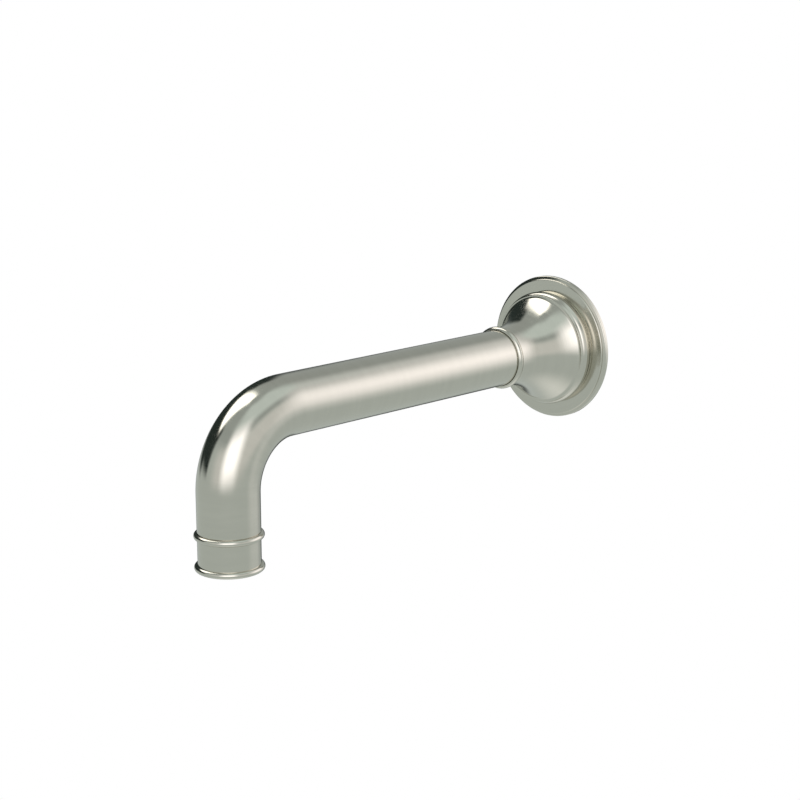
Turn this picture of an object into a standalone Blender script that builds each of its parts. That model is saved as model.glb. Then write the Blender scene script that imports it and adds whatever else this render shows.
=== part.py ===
"""Wall-mounted bath spout: a slip-on spout with a sliding bell flange and a screw-in aerator.

The finished wall is the plane Y = 0 and the water inlet's axis passes through the origin.
The spout reaches out along -Y, then turns down. +Z is up. Sizes below are in millimetres.
"""

import math

import bmesh
import bpy
from mathutils import Matrix, Vector

MM = 0.001

# Driving dimensions of the spout
REACH = 195.7  # wall to outlet axis
TUBE_RADIUS = 12.5
TUBE_WALL = 1.5
BEND_RADIUS = 29.7
RIM_DROP = 60.6  # inlet axis to outlet rim
FIT_GAP = 0.3  # between pieces that are brazed or pressed together
SEAT_GAP = 0.1  # between faces that rest on each other

# Tube
TUBE_START = 8.3  # distance of the tube's open end from the wall
TUBE_END_DROP = 45.2
TUBE_BORE = TUBE_RADIUS - TUBE_WALL
TUBE_SEGMENTS = 32
BEND_STEPS = 10

# Fineness of the turned pieces and the cutters
SEGMENTS = 24
FLANGE_SEGMENTS = 40
SCREW_SEGMENTS = 16
EDGE_STEPS = 2
BEAD_STEPS = 6
SEAL_SIDES = 6
SMALL_HOLE_SIDES = 6
LARGE_HOLE_SIDES = 12
HEXAGON = 6
SQUARE = 4
SHARP_ANGLE = math.radians(35)
CUT_MARGIN = 1.0  # how far a cutter stands out of the piece

# Form of one screw thread: (part of the pitch, part of the height)
THREAD_FORM = ((0.0, 0), (0.3, 0), (0.5, 1), (0.8, 1))
THREAD_FADE = 1 / 3  # part of a turn over which a thread fades in and out
THREAD_LEAD = 0.4  # chamfer at the start of a thread
THREAD_RELIEF = 0.2  # plain length past the end of a thread

# Inlet nipple, G1/2 to the wall and a plain spigot to the spout
NIPPLE_BORE = 5.5
NIPPLE_REACH_IN = 15.5  # length that goes into the wall fitting
INLET_THREAD_ROOT = 9.32
INLET_THREAD_CREST = 10.48
INLET_THREAD_PITCH = 1.814
INLET_THREAD_TURNS = 7
INLET_THREAD_INSET = 0.6  # from the nipple's end to the thread
COLLAR_RADIUS = 14.0
COLLAR_FRONT = 5.5
COLLAR_CHAMFER = 0.4
WASHER_THICKNESS = 1.7
WASHER_CLEARANCE = 0.2
SPIGOT_RADIUS = 7.9
SPIGOT_END = 38.0
SPIGOT_CHAMFER = 0.8
RING_GROOVES = (12.2, 18.2)  # middles of the two O-ring grooves
RING_GROOVE_HALF_WIDTH = 1.2
RING_GROOVE_RADIUS = 6.5
RING_SECTION = 0.75
NIPPLE_KEY_WIDTH = 11.0
NIPPLE_KEY_DEPTH = 9.0

# Socket brazed in the tube, and the grub screw that holds it on the nipple
SOCKET_BORE = 8.25
SOCKET_END = 39.5
SOCKET_LEAD = 0.9
SCREW_DEPTH = 26.0  # distance of the screw's axis from the wall
SCREW_GROOVE_HALF_WIDTH = 1.6
SCREW_GROOVE_DROP = 1.0
SCREW_RADIUS = 2.4
SCREW_BORE = 2.6
SCREW_BORE_START = 2.0
SCREW_CHAMFER = 0.2
SCREW_TIP = 7.4
SCREW_POINT = 0.5
SCREW_CONE_END = 9.3
SCREW_HEAD = 12.0
SCREW_KEY_WIDTH = 2.5
SCREW_KEY_DEPTH = 1.8

# Wall plate, a stepped pressing
PLATE_RADIUS = 32.5
PLATE_STEP = 1.85
PLATE_FRONT_RADIUS = 31.2
PLATE_FRONT = 3.4
PLATE_FRONT_EDGE = 0.6
PLATE_OUTER_EDGE = 1.2
PLATE_WALL = 1.4
PLATE_BACK = 0.2
PLATE_BORE = 21.3

# Bell flange
BELL_SPIGOT_RADIUS = 21.0
BELL_SPIGOT_BORE = 19.2
BELL_SPIGOT_END = 10.8
BELL_FOOT = PLATE_FRONT + SEAT_GAP
BELL_SHOULDER_RADIUS = 23.7
BELL_SHOULDER = 9.2
BELL_RIM = (  # rounded rim, as (radius, distance from the wall) from the foot to the shoulder
    (24.8, BELL_FOOT),
    (25.5, 4.6),
    (25.8, 6.2),
    (25.35, 7.8),
    (24.15, 9.3),
)
BELL_NECK_RADIUS = 13.2
BELL_NECK = 35.9
BELL_FLARE_POWER = 2.2
BELL_FLARE_STEPS = 6
BELL_WALL = 1.3
BELL_BORE = 12.65
NECK_BEAD = 37.35
NECK_BEAD_RADIUS = 1.6
NECK_BEAD_CENTRE = 12.35
NECK_BEAD_END = 75  # angle at which the bead meets the bore
NECK_BACK = 34.4  # where the neck's bore opens into the bell
NECK_GROOVE_HALF_WIDTH = 0.65
NECK_GROOVE_RADIUS = 13.45
NECK_RING_SECTION = 0.42
NECK_RING_MIDDLE = 13.01

# Ring that clamps the bell to the plate, and the foam gasket against the wall
LOCK_RING_OUTER = 25.6
LOCK_RING_BACK = 0.5
LOCK_RING_GAP = 0.15
LOCK_RING_NOTCHES = 4
LOCK_RING_NOTCH = 3.0
GASKET_INNER = 26.6
GASKET_OUTER = 29.4

# Outlet collar, brazed on the tube
COLLAR_TOP = 36.0
OUTLET_RADIUS = 12.45
OUTLET_BORE = 9.0
BEAD_DROPS = (46.5, 59.3)
BEAD_CENTRE = 12.55
BEAD_RADIUS = 1.28
AERATOR_SEAT = 47.0
OUTLET_THREAD_ROOT = 10.85
OUTLET_THREAD_CREST = 10.2
OUTLET_MOUTH = 11.0
OUTLET_MOUTH_CHAMFER = 0.3
AERATOR_PITCH = 1.0
OUTLET_THREAD_TURNS = 6
OUTLET_THREAD_START = 48.4

# Aerator cartridge
HOUSING_TOP = 48.8
HOUSING_END = 59.5
HOUSING_BORE = 9.2
HOUSING_LIP = 8.0
HOUSING_LIP_HEIGHT = 1.4
HOUSING_THREAD_ROOT = 9.85
HOUSING_THREAD_CREST = 10.45
HOUSING_THREAD_TURNS = 5
HOUSING_THREAD_OFFSET = 1.5  # pitches, so that its ridges lie in the outlet thread's grooves
HOUSING_SKIRT = 10.3
HOUSING_SKIRT_TAPER = 0.2
HOUSING_SKIRT_EDGE = 0.8
HOUSING_SLOTS = 4
HOUSING_SLOT_WIDTH = 2.0
HOUSING_SLOT_DEPTH = 1.0
HOUSING_SLOT_LENGTH = 4.0
INSERT_RADIUS = 8.95
SCREEN_DOME = 7.2
SCREEN_RISE = 3.4
SCREEN_WALL = 0.6
SCREEN_FLANGE = 0.7
SCREEN_STEPS = 3
SCREEN_HOLES = ((6, 2.4), (12, 5.0))  # (count, circle radius)
SCREEN_HOLE = 0.6
AERATOR_WASHER_BORE = 7.6
JET_PLATE_HEIGHT = 1.6
JET_COUNT = 12
JET_CIRCLE = 6.4
JET_RADIUS = 0.7
MIXER_HEIGHT = 2.4
MIXER_PASSAGES = 6
MIXER_CIRCLE = 5.3
MIXER_PASSAGE_RADIUS = 1.9
MESH_HEIGHT = 0.4
MESH_PITCH = 2.6
MESH_HOLE = 1.9
CELL_PITCH = 3.4
CELL_WIDTH = 2.9
CELL_RINGS = 2  # rings of cells round the middle one
INSERT_GAP = 0.15

NICKEL = (0.60, 0.59, 0.54)
BRASS = (0.72, 0.55, 0.27)
BLACK_RUBBER = (0.03, 0.03, 0.03)
GREY_FOAM = (0.25, 0.25, 0.26)
STEEL = (0.55, 0.55, 0.56)
WHITE_PLASTIC = (0.82, 0.83, 0.82)
GREY_PLASTIC = (0.42, 0.44, 0.46)
SATIN = 0.32
MACHINED = 0.4
RUBBER = 0.5
PLASTIC = 0.4
FOAM = 0.9

FROM_WALL = Matrix.Rotation(math.radians(90), 4, "X")
DOWN_OUTLET = Matrix.Translation((0, -REACH * MM, 0)) @ Matrix.Rotation(math.pi, 4, "X")
DOWN_AT_SCREW = Matrix.Translation((0, -SCREW_DEPTH * MM, 0)) @ Matrix.Rotation(math.pi, 4, "X")


def clear_scene():
    for obj in list(bpy.data.objects):
        bpy.data.objects.remove(obj, do_unlink=True)


def surface(name, colour, roughness, metallic):
    """A plain material with one finish."""
    material = bpy.data.materials.new(name)
    material.use_nodes = True
    shader = material.node_tree.nodes["Principled BSDF"]
    shader.inputs["Base Color"].default_value = (*colour, 1)
    shader.inputs["Roughness"].default_value = roughness
    shader.inputs["Metallic"].default_value = metallic
    material.diffuse_color = (*colour, 1)
    return material


def metal(name, colour=NICKEL, roughness=SATIN):
    return surface(name, colour, roughness, 1.0)


def soft(name, colour, roughness):
    return surface(name, colour, roughness, 0.0)


def finished(name, mesh, place, material):
    """Turns a bmesh into a smooth-shaded object in its place."""
    bmesh.ops.recalc_face_normals(mesh, faces=mesh.faces)
    data = bpy.data.meshes.new(name)
    mesh.to_mesh(data)
    mesh.free()
    data.shade_smooth()
    data.set_sharp_from_angle(angle=SHARP_ANGLE)
    if material:
        data.materials.append(material)
    obj = bpy.data.objects.new(name, data)
    obj.matrix_world = place
    bpy.context.scene.collection.objects.link(obj)
    return obj


def arc(radius_mid, along_mid, size, start, end, steps):
    """Points of an arc in a turned profile; 0 degrees is outward and 90 is along the axis."""
    points = []
    for step in range(steps + 1):
        angle = math.radians(start + (end - start) * step / steps)
        points.append((radius_mid + size * math.cos(angle), along_mid + size * math.sin(angle)))
    return points


def add_ring(mesh, radius, along, segments):
    """A ring of points about the local Z axis, or one point where the radius is nothing."""
    if radius == 0:
        return [mesh.verts.new((0, 0, along * MM))]
    points = []
    for step in range(segments):
        angle = 2 * math.pi * step / segments
        spot = (radius * math.cos(angle), radius * math.sin(angle), along)
        points.append(mesh.verts.new(Vector(spot) * MM))
    return points


def bridge(mesh, first, second):
    """Faces between two rings, either of which may be a single point."""
    count = max(len(first), len(second))
    for step in range(count):
        after = (step + 1) % count
        if len(first) == 1:
            mesh.faces.new((first[0], second[after], second[step]))
        elif len(second) == 1:
            mesh.faces.new((first[step], first[after], second[0]))
        else:
            mesh.faces.new((first[step], first[after], second[after], second[step]))


def add_thread(mesh, near, far, start, pitch, turns, root, crest):
    """A right-hand screw thread between two rings, fading in and out at its ends."""
    segments = len(near)
    last = turns * segments
    fade = segments * THREAD_FADE
    rows = []
    for step in range(last + segments + 1):
        angle = 2 * math.pi * step / segments
        amount = max(0.0, min(1.0, step / fade, (last - step) / fade))
        row = []
        for shift, height in THREAD_FORM if step <= last else THREAD_FORM[:1]:
            radius = root + (crest - root) * height * amount
            along = start + pitch * (step / segments + shift)
            spot = (radius * math.cos(angle), radius * math.sin(angle), along)
            row.append(mesh.verts.new(Vector(spot) * MM))
        rows.append(row)
    for step in range(last):
        here = rows[step] + rows[step + segments][:1]
        after = rows[step + 1] + rows[step + 1 + segments][:1]
        for low in range(len(THREAD_FORM)):
            mesh.faces.new((here[low], after[low], after[low + 1], here[low + 1]))
    for step in range(segments - 1):
        mesh.faces.new((near[step], near[step + 1], rows[step + 1][0], rows[step][0]))
    mesh.faces.new([near[-1], near[0], *rows[0], rows[segments][0], rows[segments - 1][0]])
    for step in range(last + 1, last + segments):
        spot = step % segments
        after = (spot + 1) % segments
        mesh.faces.new((rows[step][0], rows[step + 1][0], far[after], far[spot]))
    first = last % segments
    closing = [rows[last][0], rows[last + 1][0], far[first + 1], far[first]]
    mesh.faces.new([*closing, rows[last + segments][0], *reversed(rows[last][1:])])


def turned(name, profile, place, material, segments=SEGMENTS, threads=()):
    """A piece turned from a closed profile of (radius, along) points.

    Each thread is (index, start, pitch, turns, root, crest): it takes the place of the plain
    surface between profile point index and the next one.
    """
    mesh = bmesh.new()
    rings = [add_ring(mesh, radius, along, segments) for radius, along in profile]
    threaded = {thread[0]: thread[1:] for thread in threads}
    for index, ring in enumerate(rings):
        after = (index + 1) % len(rings)
        if index in threaded:
            pair = sorted((index, after), key=lambda spot: profile[spot][1])
            add_thread(mesh, rings[pair[0]], rings[pair[1]], *threaded[index])
        else:
            bridge(mesh, ring, rings[after])
    return finished(name, mesh, place, material)


def spun(name, profile, place, material, segments=SEGMENTS):
    """A solid piece turned from an open profile that starts and ends on the axis."""
    mesh = bmesh.new()
    rings = [add_ring(mesh, radius, along, segments) for radius, along in profile]
    for first, second in zip(rings, rings[1:]):
        bridge(mesh, first, second)
    return finished(name, mesh, place, material)


def cut(obj, tool):
    """Cuts a hidden tool out of an object."""
    tool.hide_render = True
    tool.display_type = "WIRE"
    modifier = obj.modifiers.new(tool.name, "BOOLEAN")
    modifier.operation = "DIFFERENCE"
    modifier.solver = "EXACT"
    modifier.object = tool


def prisms(name, centres, radius, near, far, place, sides):
    """Separate upright prisms from near to far, as a cutting tool."""
    mesh = bmesh.new()
    for across, up in centres:
        middle = Vector((across, up, (near + far) / 2)) * MM
        bmesh.ops.create_cone(
            mesh,
            cap_ends=True,
            segments=sides,
            radius1=radius * MM,
            radius2=radius * MM,
            depth=(far - near) * MM,
            matrix=Matrix.Translation(middle),
        )
    return finished(name, mesh, place, None)


def circle_centres(count, radius):
    turns = [2 * math.pi * step / count for step in range(count)]
    return [(radius * math.cos(turn), radius * math.sin(turn)) for turn in turns]


def hexagon_corner(width):
    """Corner radius of a hexagon of this width across its flats."""
    return width / math.sqrt(3)


def notches(name, count, width, middle, length, near, far, place):
    """Box cutters set radially round an axis."""
    mesh = bmesh.new()
    for step in range(count):
        turn = Matrix.Rotation(2 * math.pi * step / count, 4, "Z")
        shift = Matrix.Translation(Vector((middle, 0, (near + far) / 2)) * MM)
        size = Matrix.Diagonal((length * MM, width * MM, (far - near) * MM, 1))
        bmesh.ops.create_cube(mesh, size=1, matrix=turn @ shift @ size)
    return finished(name, mesh, place, None)


def ring_seal(name, middle, along, section, segments=SEGMENTS):
    profile = arc(middle, along, section, 0, 360, SEAL_SIDES)[:-1]
    turned(name, profile, FROM_WALL, soft(name, BLACK_RUBBER, RUBBER), segments)


def tube_stations():
    """(point, direction) pairs along the middle line of the spout."""
    straight_end = REACH - BEND_RADIUS
    out = Vector((0, -1, 0))
    stations = [(Vector((0, -TUBE_START, 0)), out)]
    for step in range(BEND_STEPS + 1):
        turn = math.pi / 2 * step / BEND_STEPS
        along = straight_end + BEND_RADIUS * math.sin(turn)
        drop = BEND_RADIUS * (1 - math.cos(turn))
        heading = Vector((0, -math.cos(turn), -math.sin(turn)))
        stations.append((Vector((0, -along, -drop)), heading))
    stations.append((Vector((0, -REACH, -TUBE_END_DROP)), Vector((0, 0, -1))))
    return stations


def spout_tube():
    mesh = bmesh.new()
    side = Vector((1, 0, 0))
    skins = {TUBE_RADIUS: [], TUBE_BORE: []}
    for middle, heading in tube_stations():
        up = heading.cross(side)
        for radius, rings in skins.items():
            ring = []
            for step in range(TUBE_SEGMENTS):
                angle = 2 * math.pi * step / TUBE_SEGMENTS
                reach = side * math.cos(angle) + up * math.sin(angle)
                ring.append(mesh.verts.new((middle + reach * radius) * MM))
            rings.append(ring)
    for rings in skins.values():
        for first, second in zip(rings, rings[1:]):
            bridge(mesh, first, second)
    for end in (0, -1):
        bridge(mesh, skins[TUBE_RADIUS][end], skins[TUBE_BORE][end])
    return finished("spout_tube", mesh, Matrix.Identity(4), metal("spout_tube"))


def inlet_nipple():
    """Brass nipple: thread into the wall, collar, and a spigot with two seal grooves."""
    collar_back = WASHER_THICKNESS + SEAT_GAP
    profile = [
        (NIPPLE_BORE, -NIPPLE_REACH_IN),
        (INLET_THREAD_ROOT - THREAD_LEAD, -NIPPLE_REACH_IN),
        (INLET_THREAD_ROOT, -NIPPLE_REACH_IN + THREAD_LEAD),
        (INLET_THREAD_ROOT, collar_back),
        (COLLAR_RADIUS - COLLAR_CHAMFER, collar_back),
        (COLLAR_RADIUS, collar_back + COLLAR_CHAMFER),
        (COLLAR_RADIUS, COLLAR_FRONT - COLLAR_CHAMFER),
        (COLLAR_RADIUS - COLLAR_CHAMFER, COLLAR_FRONT),
        (SPIGOT_RADIUS, COLLAR_FRONT),
    ]
    for middle in RING_GROOVES:
        profile += [
            (SPIGOT_RADIUS, middle - RING_GROOVE_HALF_WIDTH),
            (RING_GROOVE_RADIUS, middle - RING_GROOVE_HALF_WIDTH),
            (RING_GROOVE_RADIUS, middle + RING_GROOVE_HALF_WIDTH),
            (SPIGOT_RADIUS, middle + RING_GROOVE_HALF_WIDTH),
        ]
    profile += [
        (SPIGOT_RADIUS, SCREW_DEPTH - SCREW_GROOVE_HALF_WIDTH),
        (SPIGOT_RADIUS - SCREW_GROOVE_DROP, SCREW_DEPTH),
        (SPIGOT_RADIUS, SCREW_DEPTH + SCREW_GROOVE_HALF_WIDTH),
        (SPIGOT_RADIUS, SPIGOT_END - SPIGOT_CHAMFER),
        (SPIGOT_RADIUS - SPIGOT_CHAMFER, SPIGOT_END),
        (NIPPLE_BORE, SPIGOT_END),
    ]
    thread = (
        2,
        -NIPPLE_REACH_IN + INLET_THREAD_INSET,
        INLET_THREAD_PITCH,
        INLET_THREAD_TURNS,
        INLET_THREAD_ROOT,
        INLET_THREAD_CREST,
    )
    nipple = turned(
        "inlet_nipple", profile, FROM_WALL, metal("inlet_nipple", BRASS), threads=[thread]
    )
    key = prisms(
        "nipple_key_socket",
        [(0, 0)],
        hexagon_corner(NIPPLE_KEY_WIDTH),
        SPIGOT_END - NIPPLE_KEY_DEPTH,
        SPIGOT_END + CUT_MARGIN,
        FROM_WALL,
        HEXAGON,
    )
    cut(nipple, key)


def inlet_seals():
    """The face washer behind the collar and the two O-rings on the spigot."""
    inner = INLET_THREAD_CREST + WASHER_CLEARANCE
    profile = [
        (inner, 0),
        (COLLAR_RADIUS, 0),
        (COLLAR_RADIUS, WASHER_THICKNESS),
        (inner, WASHER_THICKNESS),
    ]
    turned("inlet_washer", profile, FROM_WALL, soft("inlet_washer", BLACK_RUBBER, RUBBER))
    middle = RING_GROOVE_RADIUS + RING_SECTION + SEAT_GAP
    for name, along in zip(("o_ring_rear", "o_ring_front"), RING_GROOVES):
        ring_seal(name, middle, along, RING_SECTION)


def spout_socket(tube):
    """Brass bush inside the tube, with the radial bore of the grub screw through both."""
    outer = TUBE_BORE - FIT_GAP
    profile = [
        (SOCKET_BORE + SOCKET_LEAD, TUBE_START),
        (outer, TUBE_START),
        (outer, SOCKET_END),
        (SOCKET_BORE, SOCKET_END),
        (SOCKET_BORE, TUBE_START + SOCKET_LEAD),
    ]
    socket = turned("inlet_socket", profile, FROM_WALL, metal("inlet_socket", BRASS))
    bore = prisms(
        "screw_bore",
        [(0, 0)],
        SCREW_BORE,
        SCREW_BORE_START,
        TUBE_RADIUS + CUT_MARGIN,
        DOWN_AT_SCREW,
        SCREW_SEGMENTS,
    )
    cut(socket, bore)
    cut(tube, bore)


def grub_screw():
    profile = [
        (0, SCREW_TIP),
        (SCREW_POINT, SCREW_TIP),
        (SCREW_RADIUS, SCREW_CONE_END),
        (SCREW_RADIUS, SCREW_HEAD - SCREW_CHAMFER),
        (SCREW_RADIUS - SCREW_CHAMFER, SCREW_HEAD),
        (0, SCREW_HEAD),
    ]
    steel = metal("grub_screw", STEEL, MACHINED)
    screw = spun("grub_screw", profile, DOWN_AT_SCREW, steel, SCREW_SEGMENTS)
    key = prisms(
        "screw_key_socket",
        [(0, 0)],
        hexagon_corner(SCREW_KEY_WIDTH),
        SCREW_HEAD - SCREW_KEY_DEPTH,
        SCREW_HEAD + CUT_MARGIN,
        DOWN_AT_SCREW,
        HEXAGON,
    )
    cut(screw, key)


def wall_plate():
    """Stepped round pressing with an open back."""
    inner_front = PLATE_FRONT - PLATE_WALL
    profile = [(PLATE_BORE, inner_front), (PLATE_BORE, PLATE_FRONT)]
    for radius, front, edge in (
        (PLATE_FRONT_RADIUS, PLATE_FRONT, PLATE_FRONT_EDGE),
        (PLATE_RADIUS, PLATE_STEP, PLATE_OUTER_EDGE),
    ):
        profile += arc(radius - edge, front - edge, edge, 90, 0, EDGE_STEPS)
        profile += [(radius, PLATE_STEP)] if front > PLATE_STEP else []
    profile += [
        (PLATE_RADIUS, PLATE_BACK),
        (PLATE_FRONT_RADIUS - PLATE_WALL, PLATE_BACK),
        (PLATE_FRONT_RADIUS - PLATE_WALL, inner_front),
    ]
    turned("wall_plate", profile, FROM_WALL, metal("wall_plate"), FLANGE_SEGMENTS)


def flare_points(shift):
    """The bell's hollow flare from shoulder to neck, moved inwards by shift."""
    points = []
    length = BELL_NECK - BELL_SHOULDER
    for step in range(BELL_FLARE_STEPS + 1):
        part = 1 - step / BELL_FLARE_STEPS
        swell = (BELL_SHOULDER_RADIUS - BELL_NECK_RADIUS) * part**BELL_FLARE_POWER
        points.append((BELL_NECK_RADIUS + swell - shift, BELL_NECK - length * part))
    return points


def bell_flange():
    """Bell with a rounded rim, a hollow flare and a beaded neck that carries an O-ring."""
    start = math.degrees(math.acos((BELL_NECK_RADIUS - NECK_BEAD_CENTRE) / NECK_BEAD_RADIUS))
    bead = arc(NECK_BEAD_CENTRE, NECK_BEAD, NECK_BEAD_RADIUS, -start, NECK_BEAD_END, BEAD_STEPS)
    groove_near = NECK_BEAD - NECK_GROOVE_HALF_WIDTH
    groove_far = NECK_BEAD + NECK_GROOVE_HALF_WIDTH
    nose = [
        (BELL_BORE, bead[-1][1]),
        (BELL_BORE, groove_far),
        (NECK_GROOVE_RADIUS, groove_far),
        (NECK_GROOVE_RADIUS, groove_near),
        (BELL_BORE, groove_near),
        (BELL_BORE, NECK_BACK),
    ]
    inside = [
        (radius, along)
        for radius, along in reversed(flare_points(BELL_WALL))
        if BELL_BORE + FIT_GAP < radius < BELL_SPIGOT_BORE
    ]
    foot = [
        (BELL_SPIGOT_BORE, BELL_SPIGOT_END),
        (BELL_SPIGOT_BORE, LOCK_RING_BACK),
        (BELL_SPIGOT_RADIUS, LOCK_RING_BACK),
        (BELL_SPIGOT_RADIUS, BELL_FOOT),
    ]
    profile = [*BELL_RIM, *flare_points(0)[:-1], *bead, *nose, *inside, *foot]
    turned("bell_flange", profile, FROM_WALL, metal("bell_flange"), FLANGE_SEGMENTS)
    ring_seal("neck_o_ring", NECK_RING_MIDDLE, NECK_BEAD, NECK_RING_SECTION, FLANGE_SEGMENTS)


def flange_backing():
    """Notched ring behind the plate that clamps the bell, and the foam wall gasket."""
    front = PLATE_FRONT - PLATE_WALL - SEAT_GAP
    inner = BELL_SPIGOT_RADIUS + LOCK_RING_GAP
    profile = [
        (inner, LOCK_RING_BACK),
        (LOCK_RING_OUTER, LOCK_RING_BACK),
        (LOCK_RING_OUTER, front),
        (inner, front),
    ]
    ring = turned(
        "flange_lock_ring", profile, FROM_WALL, metal("flange_lock_ring", BRASS), FLANGE_SEGMENTS
    )
    keys = notches(
        "lock_ring_notches",
        LOCK_RING_NOTCHES,
        LOCK_RING_NOTCH,
        LOCK_RING_OUTER,
        LOCK_RING_NOTCH,
        LOCK_RING_BACK - CUT_MARGIN,
        front + CUT_MARGIN,
        FROM_WALL,
    )
    cut(ring, keys)
    profile = [
        (GASKET_INNER, 0),
        (GASKET_OUTER, 0),
        (GASKET_OUTER, front),
        (GASKET_INNER, front),
    ]
    turned(
        "wall_gasket", profile, FROM_WALL, soft("wall_gasket", GREY_FOAM, FOAM), FLANGE_SEGMENTS
    )


def outlet_bead(drop):
    """Half-round bead on the collar, as arc points from its upper side to its lower side."""
    half = math.degrees(math.acos((OUTLET_RADIUS - BEAD_CENTRE) / BEAD_RADIUS))
    return arc(BEAD_CENTRE, drop, BEAD_RADIUS, -half, half, BEAD_STEPS)


def outlet_collar():
    """Turned collar with two beads outside and the aerator's thread inside."""
    spigot = TUBE_BORE - FIT_GAP
    shoulder = TUBE_END_DROP + SEAT_GAP
    thread_end = OUTLET_THREAD_START + (OUTLET_THREAD_TURNS + 1) * AERATOR_PITCH
    upper, lower = (outlet_bead(drop) for drop in BEAD_DROPS)
    lower = [point for point in lower if point[1] < RIM_DROP - SEAT_GAP]
    profile = [(OUTLET_BORE, COLLAR_TOP), (spigot, COLLAR_TOP), (spigot, shoulder)]
    profile += [point for point in upper if point[1] > shoulder]
    profile += lower
    profile += [
        (BEAD_CENTRE, RIM_DROP),
        (OUTLET_MOUTH + OUTLET_MOUTH_CHAMFER, RIM_DROP),
        (OUTLET_MOUTH, RIM_DROP - OUTLET_MOUTH_CHAMFER),
        (OUTLET_MOUTH, thread_end + 2 * THREAD_RELIEF),
        (OUTLET_THREAD_ROOT, thread_end + THREAD_RELIEF),
        (OUTLET_THREAD_ROOT, AERATOR_SEAT),
        (OUTLET_BORE, AERATOR_SEAT),
    ]
    thread = (
        len(profile) - 3,
        OUTLET_THREAD_START,
        AERATOR_PITCH,
        OUTLET_THREAD_TURNS,
        OUTLET_THREAD_ROOT,
        OUTLET_THREAD_CREST,
    )
    turned("outlet_collar", profile, DOWN_OUTLET, metal("outlet_collar"), threads=[thread])


def aerator_housing():
    """Threaded sleeve with slots for its key in the lower edge."""
    start = OUTLET_THREAD_START + AERATOR_PITCH * HOUSING_THREAD_OFFSET
    thread_end = start + (HOUSING_THREAD_TURNS + 1) * AERATOR_PITCH
    bottom_lip = HOUSING_END - HOUSING_LIP_HEIGHT
    skirt = HOUSING_SKIRT - HOUSING_SKIRT_TAPER
    profile = [
        (HOUSING_BORE, HOUSING_TOP),
        (HOUSING_THREAD_ROOT, HOUSING_TOP),
        (HOUSING_THREAD_ROOT, thread_end + THREAD_RELIEF),
        (skirt, HOUSING_END - HOUSING_SKIRT_EDGE),
        (skirt - FIT_GAP, HOUSING_END),
        (HOUSING_LIP, HOUSING_END),
        (HOUSING_LIP, bottom_lip),
        (HOUSING_BORE, bottom_lip),
    ]
    thread = (
        1,
        start,
        AERATOR_PITCH,
        HOUSING_THREAD_TURNS,
        HOUSING_THREAD_ROOT,
        HOUSING_THREAD_CREST,
    )
    housing = turned(
        "aerator_housing",
        profile,
        DOWN_OUTLET,
        metal("aerator_housing", NICKEL, 0.25),
        threads=[thread],
    )
    slots = notches(
        "housing_slots",
        HOUSING_SLOTS,
        HOUSING_SLOT_WIDTH,
        (HOUSING_LIP + HOUSING_SKIRT) / 2,
        HOUSING_SLOT_LENGTH,
        HOUSING_END - HOUSING_SLOT_DEPTH,
        HOUSING_END + CUT_MARGIN,
        DOWN_OUTLET,
    )
    cut(housing, slots)


def pierced_disc(name, top, height, material, centres, radius, sides):
    """Solid round disc of the cartridge's insert size, with straight holes through it."""
    profile = [
        (0, top),
        (INSERT_RADIUS, top),
        (INSERT_RADIUS, top + height),
        (0, top + height),
    ]
    disc = spun(name, profile, DOWN_OUTLET, material)
    ends = (top - CUT_MARGIN, top + height + CUT_MARGIN)
    cut(disc, prisms(name + "_holes", centres, radius, *ends, DOWN_OUTLET, sides))


def aerator_screen(top):
    """Domed strainer on a flat flange, with two rows of holes."""
    dome_wall = SCREEN_DOME - SCREEN_WALL
    profile = [(0, top - SCREEN_RISE)]
    for step in range(1, SCREEN_STEPS + 1):
        turn = math.pi / 2 * step / SCREEN_STEPS
        profile.append((SCREEN_DOME * math.sin(turn), top - SCREEN_RISE * math.cos(turn)))
    profile += [
        (INSERT_RADIUS, top),
        (INSERT_RADIUS, top + SCREEN_FLANGE),
        (dome_wall, top + SCREEN_FLANGE),
    ]
    for step in range(SCREEN_STEPS, 0, -1):
        turn = math.pi / 2 * step / SCREEN_STEPS
        height = (SCREEN_RISE - SCREEN_WALL) * math.cos(turn)
        profile.append((dome_wall * math.sin(turn), top - height))
    profile.append((0, top - SCREEN_RISE + SCREEN_WALL))
    plastic = soft("aerator_screen", WHITE_PLASTIC, PLASTIC)
    screen = spun("aerator_screen", profile, DOWN_OUTLET, plastic)
    centres = [spot for row in SCREEN_HOLES for spot in circle_centres(*row)]
    ends = (top - SCREEN_RISE - CUT_MARGIN, top + SCREEN_FLANGE + CUT_MARGIN)
    cut(screen, prisms("screen_holes", centres, SCREEN_HOLE, *ends, DOWN_OUTLET, SMALL_HOLE_SIDES))


def grid_centres(pitch, reach):
    """Middles of a square grid, turned 45 degrees, that lie within reach of the axis."""
    count = int(reach // pitch) + 1
    steps = range(-count, count + 1)
    half = pitch / math.sqrt(2)
    spots = [((row - column) * half, (row + column) * half) for row in steps for column in steps]
    return [spot for spot in spots if math.hypot(*spot) < reach]


def honeycomb_centres():
    """Middles of nineteen cells in a hexagon."""
    centres = []
    steps = range(-CELL_RINGS, CELL_RINGS + 1)
    for column in steps:
        for row in steps:
            if abs(column + row) <= CELL_RINGS:
                across = CELL_PITCH * (column + row / 2)
                centres.append((across, CELL_PITCH * row * math.sqrt(3) / 2))
    return centres


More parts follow.
